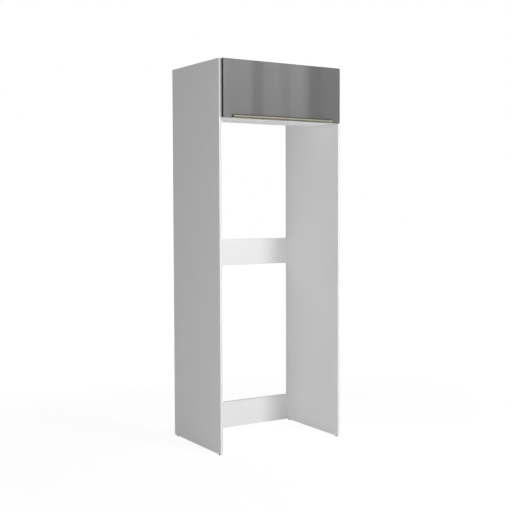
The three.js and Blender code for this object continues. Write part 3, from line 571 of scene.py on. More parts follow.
# %% [markdown]
# Strip, glue, raw edges and the walls of the bores are told apart by where they lie. Each face could be
# picked by hand, but a test on its middle finds them all: strip and glue by their depth under an edge, and
# the walls of the bores because they lie deep in the board on every side.

# %% Tests for the coats
BORE_DEPTH = 0.0011  # faces deeper than this on every side are bores


def within(low, high, edges, start, end):
    """A test for points that lie between two depths under one of the edges."""

    def test(point):
        from_high = [high[axis] - point[axis] for axis, side in edges if side > 0]
        from_low = [point[axis] - low[axis] for axis, side in edges if side < 0]
        return any(start <= depth < end for depth in from_high + from_low)

    return test


def inside(low, high, depth):
    """A test for points deeper in the box than depth on every side: the walls of bores and grooves."""
    return lambda point: all(low[axis] + depth < point[axis] < high[axis] - depth for axis in range(3))


print("bores are deeper than", BORE_DEPTH * 1000, "mm")

# %% [markdown]
# Each board says which of its edges are banded and which stay raw: edges that show or that a hand meets
# get a strip, and edges that another board or the floor hides don't. Each board could have its own lines
# of code, but as a table the edges can be read and checked at a glance.

# %% Boards
FRONT, REAR, DOWN, UP, LEFT, RIGHT = (1, -1), (1, 1), (2, -1), (2, 1), (0, -1), (0, 1)
BOARDS = {  # banded edges, raw edges
    "side_panel_left": ([FRONT, REAR, UP], [DOWN]),
    "side_panel_right": ([FRONT, REAR, UP], [DOWN]),
    "middle_rail": ([DOWN, UP], [LEFT, RIGHT]),
    "bottom_rail": ([DOWN, UP], [LEFT, RIGHT]),
    "box_side_left": ([FRONT, REAR, DOWN, UP], []),
    "box_side_right": ([FRONT, REAR, DOWN, UP], []),
    "box_top": ([FRONT, REAR], [LEFT, RIGHT]),
    "box_bottom": ([FRONT, REAR], [LEFT, RIGHT]),
}
for name, (banded, raw) in BOARDS.items():
    board = copy_node(name)
    low, high = band_edges(board, banded)
    paint(
        board,
        "melamine",
        ("edge_band", within(low, high, banded, -math.inf, BAND)),
        ("glue_line", within(low, high, banded, BAND, BAND + GLUE)),
        ("chipboard", within(low, high, raw, -math.inf, GLUE)),
        ("chipboard", inside(low, high, BORE_DEPTH)),
    )
    flatten(board)
    hand_over(board, name)
    print(name, "faces", len(board.data.polygons))

# %% [markdown]
# ## The flap
# The flap is lacquered on the front only. Its back keeps a matt grey foil, and its four edges carry a
# strip that is almost black, which draws the dark outline beside the front. A thin sheet for each finish
# could be laid on, but a real flap is one board, so it is cut and painted in the same way as the white
# ones.

# %% Flap
FOIL_SKIN = 0.0001  # faces within this of the back are foil

faced(
    "matt_foil",
    dark=(112, 112, 112),
    light=(119, 119, 118),
    rough=(0.48, 0.62),
    cloud=(0.2, 2.0),
    relief=(0.001, 1.0),
    depth=0.00006,
    fixed={"Specular IOR Level": 0.35},
)
faced(
    "dark_band",
    dark=(26, 26, 26),
    light=(33, 33, 33),
    rough=(0.4, 0.55),
    cloud=(0.1, 2.0),
    relief=(0.0006, 1.0),
    depth=0.00002,
    stretch=(0.05, 1, 1),
    fixed={"Specular IOR Level": 0.12},
)

flap = copy_node("flap_door")
flap_edges = [DOWN, UP, LEFT, RIGHT]
low, high = band_edges(flap, flap_edges)
paint(
    flap,
    "gloss_lacquer",
    ("matt_foil", lambda point: point.y > high.y - FOIL_SKIN),
    ("dark_band", within(low, high, flap_edges, -math.inf, BAND + GLUE)),
    ("chipboard", inside(low, high, BORE_DEPTH)),
)
flatten(flap)
hand_over(flap, "flap_door")
print("flap faces", len(flap.data.polygons))

# %% [markdown]
# ## Turned shapes
# Most fittings are turned on a lathe. The spin operator can make such a shape from its outline. Here it
# starts as a disc that is extruded ring by ring, and every ring is scaled to its own radius, because both
# ends are then closed from the start and each ring is one pair of numbers.

# %% Turned shapes
X, Y, Z = Vector((1, 0, 0)), Vector((0, 1, 0)), Vector((0, 0, 1))
HOLE_SIDES = 24
PIN_SIDES = 32
ROUND_SIDES = 40


def aim(piece, start, way):
    """Moves a piece that was made upright on the origin to its start, pointing along its way."""
    take(piece)
    piece.rotation_euler = Vector(way).to_track_quat("Z", "Y").to_euler()
    piece.location = start
    bpy.ops.object.transform_apply(location=True, rotation=True, scale=True)
    return piece


def turned(name, start, way, rings, sides=ROUND_SIDES):
    """A round piece. Each ring is (distance along the way, radius)."""
    bare()
    distance, radius = rings[0]
    bpy.ops.mesh.primitive_circle_add(vertices=sides, radius=radius, fill_type="NGON", location=distance * Z)
    piece = named(name)
    edit(piece)
    for next_distance, next_radius in rings[1:]:
        rise = (next_distance - distance) * Z
        bpy.ops.mesh.extrude_region_move(TRANSFORM_OT_translate={"value": rise})
        share = next_radius / radius
        bpy.ops.transform.resize(value=(share, share, 1), center_override=next_distance * Z)
        distance, radius = next_distance, next_radius
    recalculate(piece)
    return aim(piece, start, way)


def bar(start, way, length, radius, sides=HOLE_SIDES):
    """A straight round bar: a drill, a stud or an eye."""
    return turned("bar", start, way, [(0, radius), (length, radius)], sides)


print("a hole has", HOLE_SIDES, "sides, and a fitting", ROUND_SIDES)

# %% [markdown]
# ## Folded shapes
# Pressed steel and extruded aluminium have the same wall all along. A block could be cut down to such a
# shape. Here it is made as in the workshop: a point is drawn along the path of the folds into a line, the
# line is drawn across into a sheet, and a modifier gives the sheet its thickness, so the wall can't come
# out uneven.

# %% Folded shapes


def folded(name, path, way, wall):
    """A sheet of this wall thickness: the path, drawn along the way."""
    bare()
    bpy.ops.mesh.primitive_plane_add(size=wall, location=path[0])
    piece = named(name)
    bpy.ops.object.mode_set(mode="EDIT")
    bpy.ops.mesh.select_mode(type="VERT")
    bpy.ops.mesh.select_all(action="SELECT")
    bpy.ops.mesh.merge(type="CENTER")
    for last, spot in zip(path, path[1:]):
        bpy.ops.mesh.extrude_vertices_move(TRANSFORM_OT_translate={"value": spot - last})
    bpy.ops.mesh.select_all(action="SELECT")
    bpy.ops.mesh.extrude_region_move(TRANSFORM_OT_translate={"value": way})
    bpy.ops.object.mode_set(mode="OBJECT")
    modify(piece, "SOLIDIFY", thickness=wall, offset=0, use_even_offset=True)
    recalculate(piece)
    return piece


print("sheets get their wall on both sides of the path")

# %% [markdown]
# ## Joined pieces and eased edges
# Real fittings are riveted, drilled and tumbled, so their parts run into each other and no edge is sharp.
# Boolean modifiers join and drill. Pieces that only overlap would look the same from outside, but a closed
# single skin can also be bevelled across the joint. The bevel comes last and eases all sharp edges at
# once.

# %% Join, drill and ease
SHARP = 40  # degrees: folds sharper than this are eased
VERY_SHARP = 50  # leaves the sides of drilled holes as they are


def carve(piece, *cutters):
    """Takes the cutters' shapes out of the piece and uses them up."""
    for cutter in cutters:
        modify(piece, "BOOLEAN", operation="DIFFERENCE", object=cutter, solver="EXACT")
        bpy.data.objects.remove(cutter)
    return piece


def weld(piece, *others):
    """Joins the others' shapes to the piece and uses them up."""
    for other in others:
        modify(piece, "BOOLEAN", operation="UNION", object=other, solver="EXACT")
        bpy.data.objects.remove(other)
    merge_close(piece)
    return piece


def ease(piece, width, segments=2, sharp=SHARP):
    """Rounds the sharp edges."""
    merge_close(piece)
    modify(
        piece,
        "BEVEL",
        width=width,
        segments=segments,
        limit_method="ANGLE",
        angle_limit=math.radians(sharp),
        use_clamp_overlap=True,
    )
    merge_close(piece)


print("edges sharper than", SHARP, "degrees are eased")

# %% [markdown]
# Blocks are needed throughout. A block could be scaled and moved by eye, but here it is added between two
# of its corners, and the corners are worked out from the boxes of the CAD nodes. A hair of play keeps two
# pieces apart where one slides or turns in the other.

# %% Blocks, places and play
SEAM = 0.0003


def new_box(name, low, high):
    """A cube added at its place and size."""
    bare()
    low, high = Vector(low), Vector(high)
    bpy.ops.mesh.primitive_cube_add(size=1, location=(low + high) / 2, scale=high - low)
    return named(name)


def middle_of(name):
    """The middle of a CAD node's box."""
    low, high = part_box(name)
    return (low + high) / 2


print("pieces have", SEAM * 1000, "mm of play")

# %% [markdown]
# ## The pull
# The pull is an aluminium section, pressed through a die and sawn to length: a leg against the flap, a
# narrow top, and a lip that bulges forward and leaves room behind it for the fingertips. It could be cut
# out of a bar, but one folded sheet keeps the wall even, as the die does. The rib that takes the screws is
# welded on.

# %% Pull
PULL_WALL = 0.0016
PULL_LIP = 0.0155  # height of the lip
PULL_BOW = 0.0016  # how far the lip bulges
LIP_STEPS = 16
RIB_THICK = 0.0016
RIB_HEIGHT = 0.007
PULL_SCREW_HOLE = 0.0022
PULL_DRILL = 0.012  # how far the drill starts before the screw's middle
PULL_EASE = 0.0002

low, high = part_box("handle_profile")
half_wall = PULL_WALL / 2
lip_half = PULL_LIP / 2
bulge = (lip_half**2 + PULL_BOW**2) / (2 * PULL_BOW)
centre = Vector((low.x, low.y + bulge, high.z - lip_half))
top_angle = math.asin((lip_half - half_wall) / (bulge - half_wall))
end_angle = math.asin(lip_half / bulge)
leg = high.y - half_wall
under_web = high.z - PULL_WALL
section = [Vector((low.x, leg, low.z)), Vector((low.x, leg, high.z - half_wall))]
for step in range(LIP_STEPS + 1):
    angle = top_angle - (top_angle + end_angle) * step / LIP_STEPS
    section.append(centre + (bulge - half_wall) * Vector((0, -math.cos(angle), math.sin(angle))))
pull = folded("pull", section, (high.x - low.x) * X, PULL_WALL)
rib = new_box(
    "rib",
    (low.x, high.y - PULL_WALL - RIB_THICK, under_web - RIB_HEIGHT),
    (high.x, leg, under_web + half_wall),
)
weld(pull, rib)
for end in ("left", "middle", "right"):
    drill_start = middle_of("handle_screw_" + end) - PULL_DRILL * Y
    carve(pull, bar(drill_start, Y, 2 * PULL_DRILL, PULL_SCREW_HOLE))
ease(pull, PULL_EASE, sharp=VERY_SHARP)
paint(pull, "champagne")
hand_over(pull, "handle_profile")
print("pull is", round((high.x - low.x) * 1000), "mm long, faces", len(pull.data.polygons))

# %% [markdown]
# ## Choosing by place
# In edit mode an operator changes what is selected. With a mouse one clicks on an edge or a face. In code
# a test on its middle finds it, and still finds the right one after a size has changed.

# %% Choose edges and faces


def choose(piece, kind, test):
    """In edit mode, selects the edges or faces whose middle passes the test."""
    if bpy.context.mode != "EDIT_MESH":
        edit(piece)
    bpy.ops.mesh.select_mode(type=kind)
    bpy.ops.mesh.select_all(action="DESELECT")
    mesh = bmesh.from_edit_mesh(piece.data)
    for part in {"EDGE": mesh.edges, "FACE": mesh.faces}[kind]:
        middle = sum((corner.co for corner in part.verts), Vector()) / len(part.verts)
        if test(middle):
            part.select_set(True)
    bmesh.update_edit_mesh(piece.data)


print("edges and faces can be chosen by their place")

# %% [markdown]
# ## Screws
# A furniture screw has a cross recess in which the bit centres itself. A bump in the finish could stand
# for it, but seen close up only a cut has the right edge. So two crossed arms are taken out of the head,
# which taper towards their bottom as the punch does that presses a real one.

# %% A cross recess
CROSS_SPAN_SHARE = 1.15  # of the head's radius
CROSS_WIDTH_SHARE = 0.28
CROSS_TAPER_SHARES = (0.4, 0.6, 1)


def cross_arms(head, face, depth):
    """The cutters of a cross recess: two crossed arms that taper towards their bottom."""
    arms = []
    for turn in (0, math.pi / 2):
        reach = head * CROSS_SPAN_SHARE / 2
        side = head * CROSS_WIDTH_SHARE / 2
        arm = new_box("arm", (-reach, -side, face - depth), (reach, side, face + depth))
        choose(arm, "FACE", lambda point: point.z > face + depth / 2)
        bpy.ops.transform.resize(value=CROSS_TAPER_SHARES)
        take(arm)
        arm.rotation_euler.z = turn
        bpy.ops.object.transform_apply(location=True, rotation=True, scale=True)
        arms.append(arm)
    return arms


print("an arm is", CROSS_SPAN_SHARE, "head radii long and", CROSS_WIDTH_SHARE, "wide")

# %% [markdown]
# A screw is one turned shape from its head to its tip. Its thread could be cut too, but that sits in the
# board where nobody sees it. Sunk heads are cones that lie flush, and domed heads stand on a fitting.

# %% A screw
CROSS_DEPTH_SHARE = 0.75  # of the cone or the crown
DOME_SHARES = ((1, 0.5), (0.88, 0.74), (0.6, 0.92), (0.25, 1), (0, 1))  # of the crown, of the head
TIP_SHARE = 0.2  # of the shank's radius
HEAD_BEVEL = 0.0002
HEAD_EDGE = 0.0001  # height of a sunk head's cylindrical edge


def new_screw(name, head, shank, length, cone, crown):
    """A screw on the origin. Its cone goes into the seat, or its crown stands below the seat at zero."""
    if crown:
        top = [(share * -crown, head * wide) for share, wide in DOME_SHARES]
    else:
        top = [(0, head - HEAD_BEVEL), (HEAD_EDGE, head)]
    shaft = [(cone, shank), (length - 2 * shank, shank), (length, shank * TIP_SHARE)]
    screw = turned(name, (0, 0, 0), Z, top + shaft)
    return carve(screw, *cross_arms(head, -crown, (cone or crown) * CROSS_DEPTH_SHARE))


print("a domed head has", len(DOME_SHARES), "rings")

# %% [markdown]
# The unit takes six kinds of screws. Each screw could be modelled in its place, but those of one kind are
# all alike, so each kind is made once on the origin, pointing up, and kept as a pattern for its copies.

# %% Kinds of screws
SCREW_KINDS = {  # head radius, shank radius, length, cone, crown
    "plate": (0.0032, 0.0016, 0.012, 0.0014, 0),
    "box": (0.004, 0.0019, 0.025, 0.0024, 0),
    "handle": (0.0038, 0.0019, 0.0175, 0.0022, 0),
    "arm": (0.0034, 0.0015, 0.0056, 0, 0.0018),
    "ear": (0.0034, 0.0017, 0.010, 0, 0.001),
    "bracket": (0.0034, 0.0017, 0.010, 0, 0.0014),
}
patterns = {kind: new_screw("pattern_" + kind, *sizes) for kind, sizes in SCREW_KINDS.items()}
print("made", len(patterns), "kinds of screws")

# %% [markdown]
# A screw's place is the end of its CAD node that comes first along its way, and a domed head moves out by
# its crown. Asking the node for it saves a list of places, and the screws follow when a board moves.

# %% Screws in their places


def copied(piece):
    """A copy with its own mesh."""
    twin = bpy.data.objects.new(piece.name, piece.data.copy())
    bpy.context.scene.collection.objects.link(twin)
    return twin


def seat_of(name, way):
    """The middle of the end at which the node starts when one looks along the way."""
    low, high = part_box(name)
    start = (low + high) / 2
    axis = max(range(3), key=lambda a: abs(way[a]))
    start[axis] = low[axis] if way[axis] > 0 else high[axis]
    return start


SCREW_PLACES = []
for side, out in (("left", -X), ("right", X)):
    SCREW_PLACES += [(f"plate_screw_{wing}_{side}", "plate", Z) for wing in ("outer", "inner")]
    SCREW_PLACES += [(f"box_screw_{end}_{side}", "box", out) for end in ("front", "rear")]
    SCREW_PLACES += [(f"hinge_arm_screw_{side}", "arm", Z)]
SCREW_PLACES += [(f"handle_screw_{end}", "handle", -Y) for end in ("left", "middle", "right")]
for name, kind, way in SCREW_PLACES:
    *_, crown = SCREW_KINDS[kind]
    screw = aim(copied(patterns[kind]), seat_of(name, way) + crown * way, way)
    paint(screw, slot_of[name])
    hand_over(screw, name)
print("placed", len(SCREW_PLACES), "screws")

# %% [markdown]
# ## The hinges
# A concealed hinge has a deep-drawn cup in the flap, an arm that reaches round the flap's edge, and a
# plate on the cabinet that the arm hooks over. Drawn and turned steel has round corners. A bevel could
# round them afterwards, but when they are arcs in the list of rings, each has its own radius.

# %% Arcs of rings


def arc(distance, radius, bend, start, end, steps):
    """The rings of a round stretch: a bend about a middle, from one angle to another in degrees."""
    angles = [math.radians(start + (end - start) * step / steps) for step in range(steps + 1)]
    return [(distance + bend * math.sin(angle), radius + bend * math.cos(angle)) for angle in angles]


print("a quarter turn in 2 steps:", [round(radius, 2) for _, radius in arc(0, 0, 1, 0, 90, 2)])

# %% [markdown]
# Plates with round ends take the screws of hinges and struts. A disc could be welded to each end of a box,
# but a bevel of the box's four edges along one axis gives both ends at once.

# %% Plates with round ends
ROUND_STEPS = 12  # segments of a round end
TOUCH = 0.000001  # metres: places nearer than this are the same place


def stadium(name, low, high, axis):
    """A plate with round ends: the four edges along the axis are bevelled until they meet."""
    piece = new_box(name, low, high)
    sizes = [abs(high[a] - low[a]) for a in range(3) if a != axis]
    middle = (low[axis] + high[axis]) / 2
    choose(piece, "EDGE", lambda point: abs(point[axis] - middle) < TOUCH)
    bpy.ops.mesh.bevel(offset=min(sizes) / 2 - CLOSE / 4, segments=ROUND_STEPS, affect="EDGES")
    merge_close(piece)
    return piece


print("a round end has", ROUND_STEPS, "segments")

# %% [markdown]
# Left and right fittings mirror each other. Both could be modelled, but then every change would have to be
# made twice. So the right one is a copy that a negative scale turns over. That turns its faces inwards
# too, and they are pointed outwards again.

# %% Pairs


def hand_over_pair(piece, kind):
    """The left piece and its mirror image on the other side of the unit take the places of two CAD nodes."""
    twin = copied(piece)
    take(twin)
    twin.scale.x = -1
    bpy.ops.object.transform_apply(location=True, rotation=True, scale=True)
    recalculate(twin)
    hand_over(piece, kind + "_left")
    hand_over(twin, kind + "_right")


print("pairs:", sum(name.endswith("_left") for name in slot_of), "nodes have a left side")

# %% [markdown]
# The cup's wall is one turned shape with a flat floor. It could be a bowl that Solidify thickens. But here
# the rings go from the floor out along the inside, round the rim, and back along the outside, so that
# inside and outside each have their own roundings, as in drawn steel.

# %% Hinge cup's wall
CUP_RADIUS = 0.0172
CUP_DEPTH = 0.0122
CUP_STEEL = 0.0008
CUP_TO_EDGE = 0.003  # wood between the bore and the flap's top edge
FLOOR_BEND = 0.0012  # inside
FLOOR_ROUND = 0.002  # outside
FLOOR_DISC = 0.002  # radius of the flat disc that closes the floor
MOUTH_ROLL = 0.0006
RIM = 0.002  # how far the rim reaches past the wall
RIM_ROUND = 0.0004
EAR_STEEL = 0.0012  # the rim is as thick as the ears
CUP_SIDES = 64

pin_place = middle_of("hinge_pin_left")
flap_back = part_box("flap_door")[1].y
flap_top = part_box("flap_door")[1].z
cup_seat = Vector((pin_place.x, flap_back + SEAM, flap_top - CUP_TO_EDGE - CUP_RADIUS - SEAM))
inner = CUP_RADIUS - CUP_STEEL
floor = CUP_DEPTH + SEAM
cup_rings = [(floor - CUP_STEEL, FLOOR_DISC)]
cup_rings += arc(floor - CUP_STEEL - FLOOR_BEND, inner - FLOOR_BEND, FLOOR_BEND, 90, 0, steps=5)
cup_rings += arc(-EAR_STEEL + MOUTH_ROLL, inner + MOUTH_ROLL, MOUTH_ROLL, 180, 270, steps=4)
cup_rings += arc(-EAR_STEEL + RIM_ROUND, CUP_RADIUS + RIM - RIM_ROUND, RIM_ROUND, -90, 0, steps=3)
cup_rings += [(0, CUP_RADIUS + RIM), (0, CUP_RADIUS)]
cup_rings += arc(floor - FLOOR_ROUND, CUP_RADIUS - FLOOR_ROUND, FLOOR_ROUND, 0, 90, steps=6)
cup_rings += [(floor, FLOOR_DISC)]
cup = turned("hinge_cup", cup_seat, -Y, cup_rings, CUP_SIDES)
print("cup has", len(cup_rings), "rings and is", CUP_DEPTH * 1000, "mm deep")

# %% [markdown]
# Two cheeks inside the cup hold the pin, and two ears beside it take the screws. The ears and cheeks could
# be extruded from the wall, but their shapes cross it at odd angles, so they are joined by a Boolean. The
# left hinge is made, and the right one is its mirror image.

# %% Hinge cup's ears and cheeks
EAR_HALF = 0.0225  # from the cup's middle to a screw
EAR_RADIUS = 0.006
KNUCKLE_ROOM = 0.0044  # half the room between the cheeks
CHEEK_WALL = 0.003
PIN_HOLE = 0.00135
PIN_REACH = 0.0082  # half the pin's length, and a little more
MOUTH_PLAY = 0.0001
OVERRUN = 0.002  # cutters reach at least this far past what they cut
CUP_EASE = 0.00012

ears = stadium(
    "ears",
    cup_seat + Vector((-EAR_HALF - EAR_RADIUS, 0, -EAR_RADIUS)),
    cup_seat + Vector((EAR_HALF + EAR_RADIUS, EAR_STEEL, EAR_RADIUS)),
    1,
)
carve(ears, bar(cup_seat - OVERRUN * Y, Y, 3 * OVERRUN, CUP_RADIUS - MOUTH_PLAY, CUP_SIDES))
weld(cup, ears)
for end in (-1, 1):
    near, far = sorted((pin_place.x + end * KNUCKLE_ROOM, pin_place.x + end * CUP_RADIUS))
    cheek = new_box(
        "cheek",
        (near, cup_seat.y - CUP_DEPTH, pin_place.z - CHEEK_WALL),
        (far, pin_place.y + CHEEK_WALL, cup_seat.z + CUP_RADIUS),
    )
    room = bar(cup_seat, -Y, CUP_DEPTH, CUP_RADIUS - CUP_STEEL / 2, CUP_SIDES)
    modify(cheek, "BOOLEAN", operation="INTERSECT", object=room, solver="EXACT")
    bpy.data.objects.remove(room)
    weld(cup, cheek)
    screw_seat = cup_seat + EAR_STEEL * Y + end * EAR_HALF * X
    weld(cup, aim(copied(patterns["ear"]), screw_seat, -Y))
carve(cup, bar(pin_place - PIN_REACH * X, X, 2 * PIN_REACH, PIN_HOLE))
ease(cup, CUP_EASE, segments=1, sharp=VERY_SHARP)
paint(cup, "nickel")
hand_over_pair(cup, "hinge_cup")
print("cup faces", len(cup.data.polygons))

# %% [markdown]
# Bent steel has a round corner at each fold. The folded sheet could be bevelled, but a bevel would have to
# keep the wall even on both sides. So the path gets the round corners before it is folded.

# %% A path with round corners


def rounded(path, bend, steps):
    """The path with an arc in place of each of its inner corners."""
    path = [Vector(spot) for spot in path]
    spots = [path[0]]
    for before, corner, after in zip(path, path[1:], path[2:]):
        back = (before - corner).normalized()
        onward = (after - corner).normalized()
        half = back.angle(onward) / 2
        middle = corner + (back + onward).normalized() * bend / math.sin(half)
        first = (corner + back * bend / math.tan(half) - middle).normalized()
        last = (corner + onward * bend / math.tan(half) - middle).normalized()
        spots += [middle + bend * first.slerp(last, step / steps) for step in range(steps + 1)]
    return spots + [path[-1]]


print("a corner in 4 steps has", len(rounded([X, X + Y, Y], 0.5, 4)), "points")

# %% [markdown]
# The arm is a thick steel strip: an eye round the pin, a neck that bends under the flap's edge, and a
# channel whose cheeks slide over the plate's spine. A real one is pressed from one blank. The strip, the
# eye and the channel are made apart and welded, because each is then a simple fold, bar or box.

# %% Hinge arm
ARM_STEEL = 0.002
ARM_WIDTH = 0.008
ARM_CHEEK = 0.0016
NECK_BEND = 0.004
NECK_STEPS = 8
CHANNEL_START = 0.012  # from the cabinet's front
CHANNEL_BEND = 0.0012
CHANNEL_STEPS = 4
EYE_RADIUS = 0.0022
SPINE_WIDTH = 0.010
PLATE_STEEL = 0.0016

arm_low, arm_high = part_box("hinge_arm_left")
plate_low, plate_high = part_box("hinge_plate_left")
box_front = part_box("box_top")[0].y
strip_side = pin_place.x - ARM_WIDTH / 2
strip_path = [
    (strip_side, pin_place.y, pin_place.z),
    (strip_side, pin_place.y, arm_low.z + ARM_STEEL / 2),
    (strip_side, arm_high.y, arm_low.z + ARM_STEEL / 2),
]
arm = folded("hinge_arm", rounded(strip_path, NECK_BEND, NECK_STEPS), ARM_WIDTH * X, ARM_STEEL)
eye = bar(pin_place - ARM_WIDTH / 2 * X, X, ARM_WIDTH, EYE_RADIUS, PIN_SIDES)
cheek_inner = SPINE_WIDTH / 2 + SEAM
cheek_outer = cheek_inner + ARM_CHEEK
cheek_top = plate_high.z - PLATE_STEEL - SEAM
channel = new_box(
    "channel",
    (pin_place.x - cheek_outer, box_front + CHANNEL_START, arm_low.z),
    (pin_place.x + cheek_outer, arm_high.y, cheek_top),
)
channel_foot = arm_low.z + TOUCH
choose(channel, "EDGE", lambda point: point.z < channel_foot and abs(point.x - pin_place.x) > cheek_inner)
bpy.ops.mesh.bevel(offset=CHANNEL_BEND, segments=CHANNEL_STEPS, affect="EDGES")
hollow = new_box(
    "hollow",
    (pin_place.x - cheek_inner, box_front, arm_low.z + ARM_STEEL),
    (pin_place.x + cheek_inner, arm_high.y + OVERRUN, plate_high.z),
)
carve(channel, hollow)
weld(arm, eye, channel)
print("neck bends with a radius of", NECK_BEND * 1000, "mm")

# %% [markdown]
# The eye is drilled for the pin, and the channel for the screw that holds the arm on the plate. The holes
# could be left out of the three parts before they are welded, but a drill through the whole arm keeps them
# straight, and the edges are eased after it.

# %% Drill the arm
EYE_REACH = 0.006  # half the drill's length
SCREW_DRILL = 0.008  # how far the drill starts below the screw's middle
ARM_DRILLED = 0.014
STEEL_EASE = 0.0002

arm_screw_place = middle_of("hinge_arm_screw_left")
_, arm_shank, *_ = SCREW_KINDS["arm"]
arm_screw_hole = arm_shank + SEAM
carve(
    arm,
    bar(pin_place - EYE_REACH * X, X, 2 * EYE_REACH, PIN_HOLE),
    bar(arm_screw_place - SCREW_DRILL * Z, Z, ARM_DRILLED, arm_screw_hole),
)
ease(arm, STEEL_EASE, sharp=VERY_SHARP)
paint(arm, "nickel")
print("arm faces", len(arm.data.polygons))

# %% [markdown]
# The plate lies under the cabinet's top, with two round wings for its screws and a spine that the arm
# hooks over. The seats of the screws could be measured on the CAD plate, but cutters with the screws' own
# sizes and a little play let the heads lie flush whatever screws are used. Arm and plate are then handed
# over together.

# %% Hinge plate
PLATE_WING = 0.008
SINK_OVERRUN = 0.001
SINK_LENGTH = 0.004
PLATE_DRILLED = 0.0112

wing_middle = middle_of("plate_screw_outer_left").y
plate = stadium(
    "hinge_plate",
    Vector((plate_low.x, wing_middle - PLATE_WING, plate_high.z - PLATE_STEEL)),
    Vector((plate_high.x, wing_middle + PLATE_WING, plate_high.z)),
    2,
)
spine = new_box(
    "spine",
    (pin_place.x - SPINE_WIDTH / 2, plate_low.y, plate_low.z),
    (pin_place.x + SPINE_WIDTH / 2, plate_high.y, plate_high.z),
)
weld(plate, spine)
head, shank, _, cone, _ = SCREW_KINDS["plate"]
sink_rings = [(-SINK_OVERRUN, head + SEAM), (0, head + SEAM)]
sink_rings += [(cone, shank + SEAM), (SINK_LENGTH, shank + SEAM)]
for wing in ("outer", "inner"):
    sink_start = seat_of(f"plate_screw_{wing}_left", Z)
    sink_start.z = plate_high.z - PLATE_STEEL
    carve(plate, turned("sink", sink_start, Z, sink_rings))
carve(plate, bar(arm_screw_place - SCREW_DRILL * Z, Z, PLATE_DRILLED, arm_screw_hole))
ease(plate, STEEL_EASE, sharp=VERY_SHARP)
paint(plate, "nickel")
hand_over_pair(arm, "hinge_arm")
hand_over_pair(plate, "hinge_plate")
print("plate faces", len(plate.data.polygons))

# %% [markdown]
# ## The gas struts
# A gas strut is a painted steel tube full of compressed nitrogen, with a chromed rod that it pushes out.
# The tube's mouth is rolled in round a gland, which leaves a shallow groove. Tube and rod lie on the line
# between the two studs, where the shut flap leaves them. That line could be typed in, but it is measured
# between the brackets, so the strut follows them when a size changes.

# %% The strut's line and its sockets
SOCKET_RADIUS = 0.006
SOCKET_WIDTH = 0.008
SOCKET_CHAMFER = 0.0006
NECK_RADIUS = 0.0038
NECK_LENGTH = 0.007
EAR_END = 0.007  # from the upper stud to the end of the flap's bracket

strut_foot = middle_of("strut_side_bracket_left")
strut_head = middle_of("strut_door_bracket_left")
strut_head.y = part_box("strut_door_bracket_left")[1].y - EAR_END
strut_foot.x = strut_head.x = middle_of("strut_cylinder_left").x
strut_length = (strut_head - strut_foot).length
strut_way = (strut_head - strut_foot).normalized()


def new_socket(pivot, way, neck_end):
    """A socket round a stud that runs along X, with the neck that holds the tube or the rod."""
    rings = [(0, SOCKET_RADIUS - SOCKET_CHAMFER), (SOCKET_CHAMFER, SOCKET_RADIUS)]
    rings += [(SOCKET_WIDTH - SOCKET_CHAMFER, SOCKET_RADIUS), (SOCKET_WIDTH, SOCKET_RADIUS - SOCKET_CHAMFER)]
    socket = turned("socket", pivot - SOCKET_WIDTH / 2 * X, X, rings)
    return weld(socket, bar(pivot, way, neck_end, NECK_RADIUS, PIN_SIDES))


def run(point):
    """How far up the strut a point lies."""
    return (point - strut_foot).dot(strut_way)


print("strut is", round(strut_length * 1000, 1), "mm between its studs when the flap is shut")

# %% [markdown]
# The tube is really hollow: its rings go up the outside, over the rolled mouth, through the gland's hole
# and down the bore to the floor. A solid bar would look the same while the flap is shut, but the rod
# slides out of this one with its piston inside, and no two pieces ever share a place.

# %% Strut tube
TUBE_RADIUS = 0.0075
TUBE_BORE = 0.006
TUBE_FLOOR = 0.008  # from the tube's start to the bottom of its bore
TUBE_EDGE = 0.001
TUBE_DISC = 0.003  # radius of the flat disc that closes the foot
END_DISC = 0.001  # radius of the flat disc that closes the bore and each end of the rod
GROOVE_OUT = 0.0003  # the rolled groove's middle lies this far outside the tube
GROOVE_BEND = 0.001
GROOVE_DROP = 0.008  # from the mouth down to the groove
GLAND = 0.004
ROD_RADIUS = 0.003
ROD_SHOW = 0.012  # bare rod when the flap is shut
STUD_RADIUS = 0.003
NECK_BITE = 0.0005  # how far the neck runs into the tube
SOCKET_EDGE = 0.0002  # where the plastic ends and the paint begins

tube_start = SOCKET_RADIUS + NECK_LENGTH / 2
tube_end = strut_length - SOCKET_RADIUS - NECK_LENGTH - ROD_SHOW
groove = tube_end - GROOVE_DROP
groove_half = math.degrees(math.acos(GROOVE_OUT / GROOVE_BEND))
tube_rings = [(tube_start, TUBE_DISC)]
tube_rings += arc(tube_start + TUBE_EDGE, TUBE_RADIUS - TUBE_EDGE, TUBE_EDGE, -90, 0, steps=4)
groove_from = 180 + groove_half
groove_to = 180 - groove_half
tube_rings += arc(groove, TUBE_RADIUS + GROOVE_OUT, GROOVE_BEND, groove_from, groove_to, steps=8)
tube_rings += arc(tube_end - TUBE_EDGE, TUBE_RADIUS - TUBE_EDGE, TUBE_EDGE, 0, 90, steps=4)
tube_rings += [(tube_end, ROD_RADIUS + SEAM), (tube_end - GLAND, ROD_RADIUS + SEAM)]
tube_rings += [(tube_end - GLAND, TUBE_BORE), (tube_start + TUBE_FLOOR, TUBE_BORE)]
tube_rings += [(tube_start + TUBE_FLOOR, END_DISC)]
tube = turned("strut_tube", strut_foot, strut_way, tube_rings)
weld(tube, new_socket(strut_foot, strut_way, tube_start + NECK_BITE))
carve(tube, bar(strut_foot - SOCKET_WIDTH * X, X, 2 * SOCKET_WIDTH, STUD_RADIUS + SEAM, PIN_SIDES))
paint(tube, "strut_black", ("socket", lambda point: run(point) < tube_start - SOCKET_EDGE))
print("tube is", round((tube_end - tube_start) * 1000, 1), "mm long")

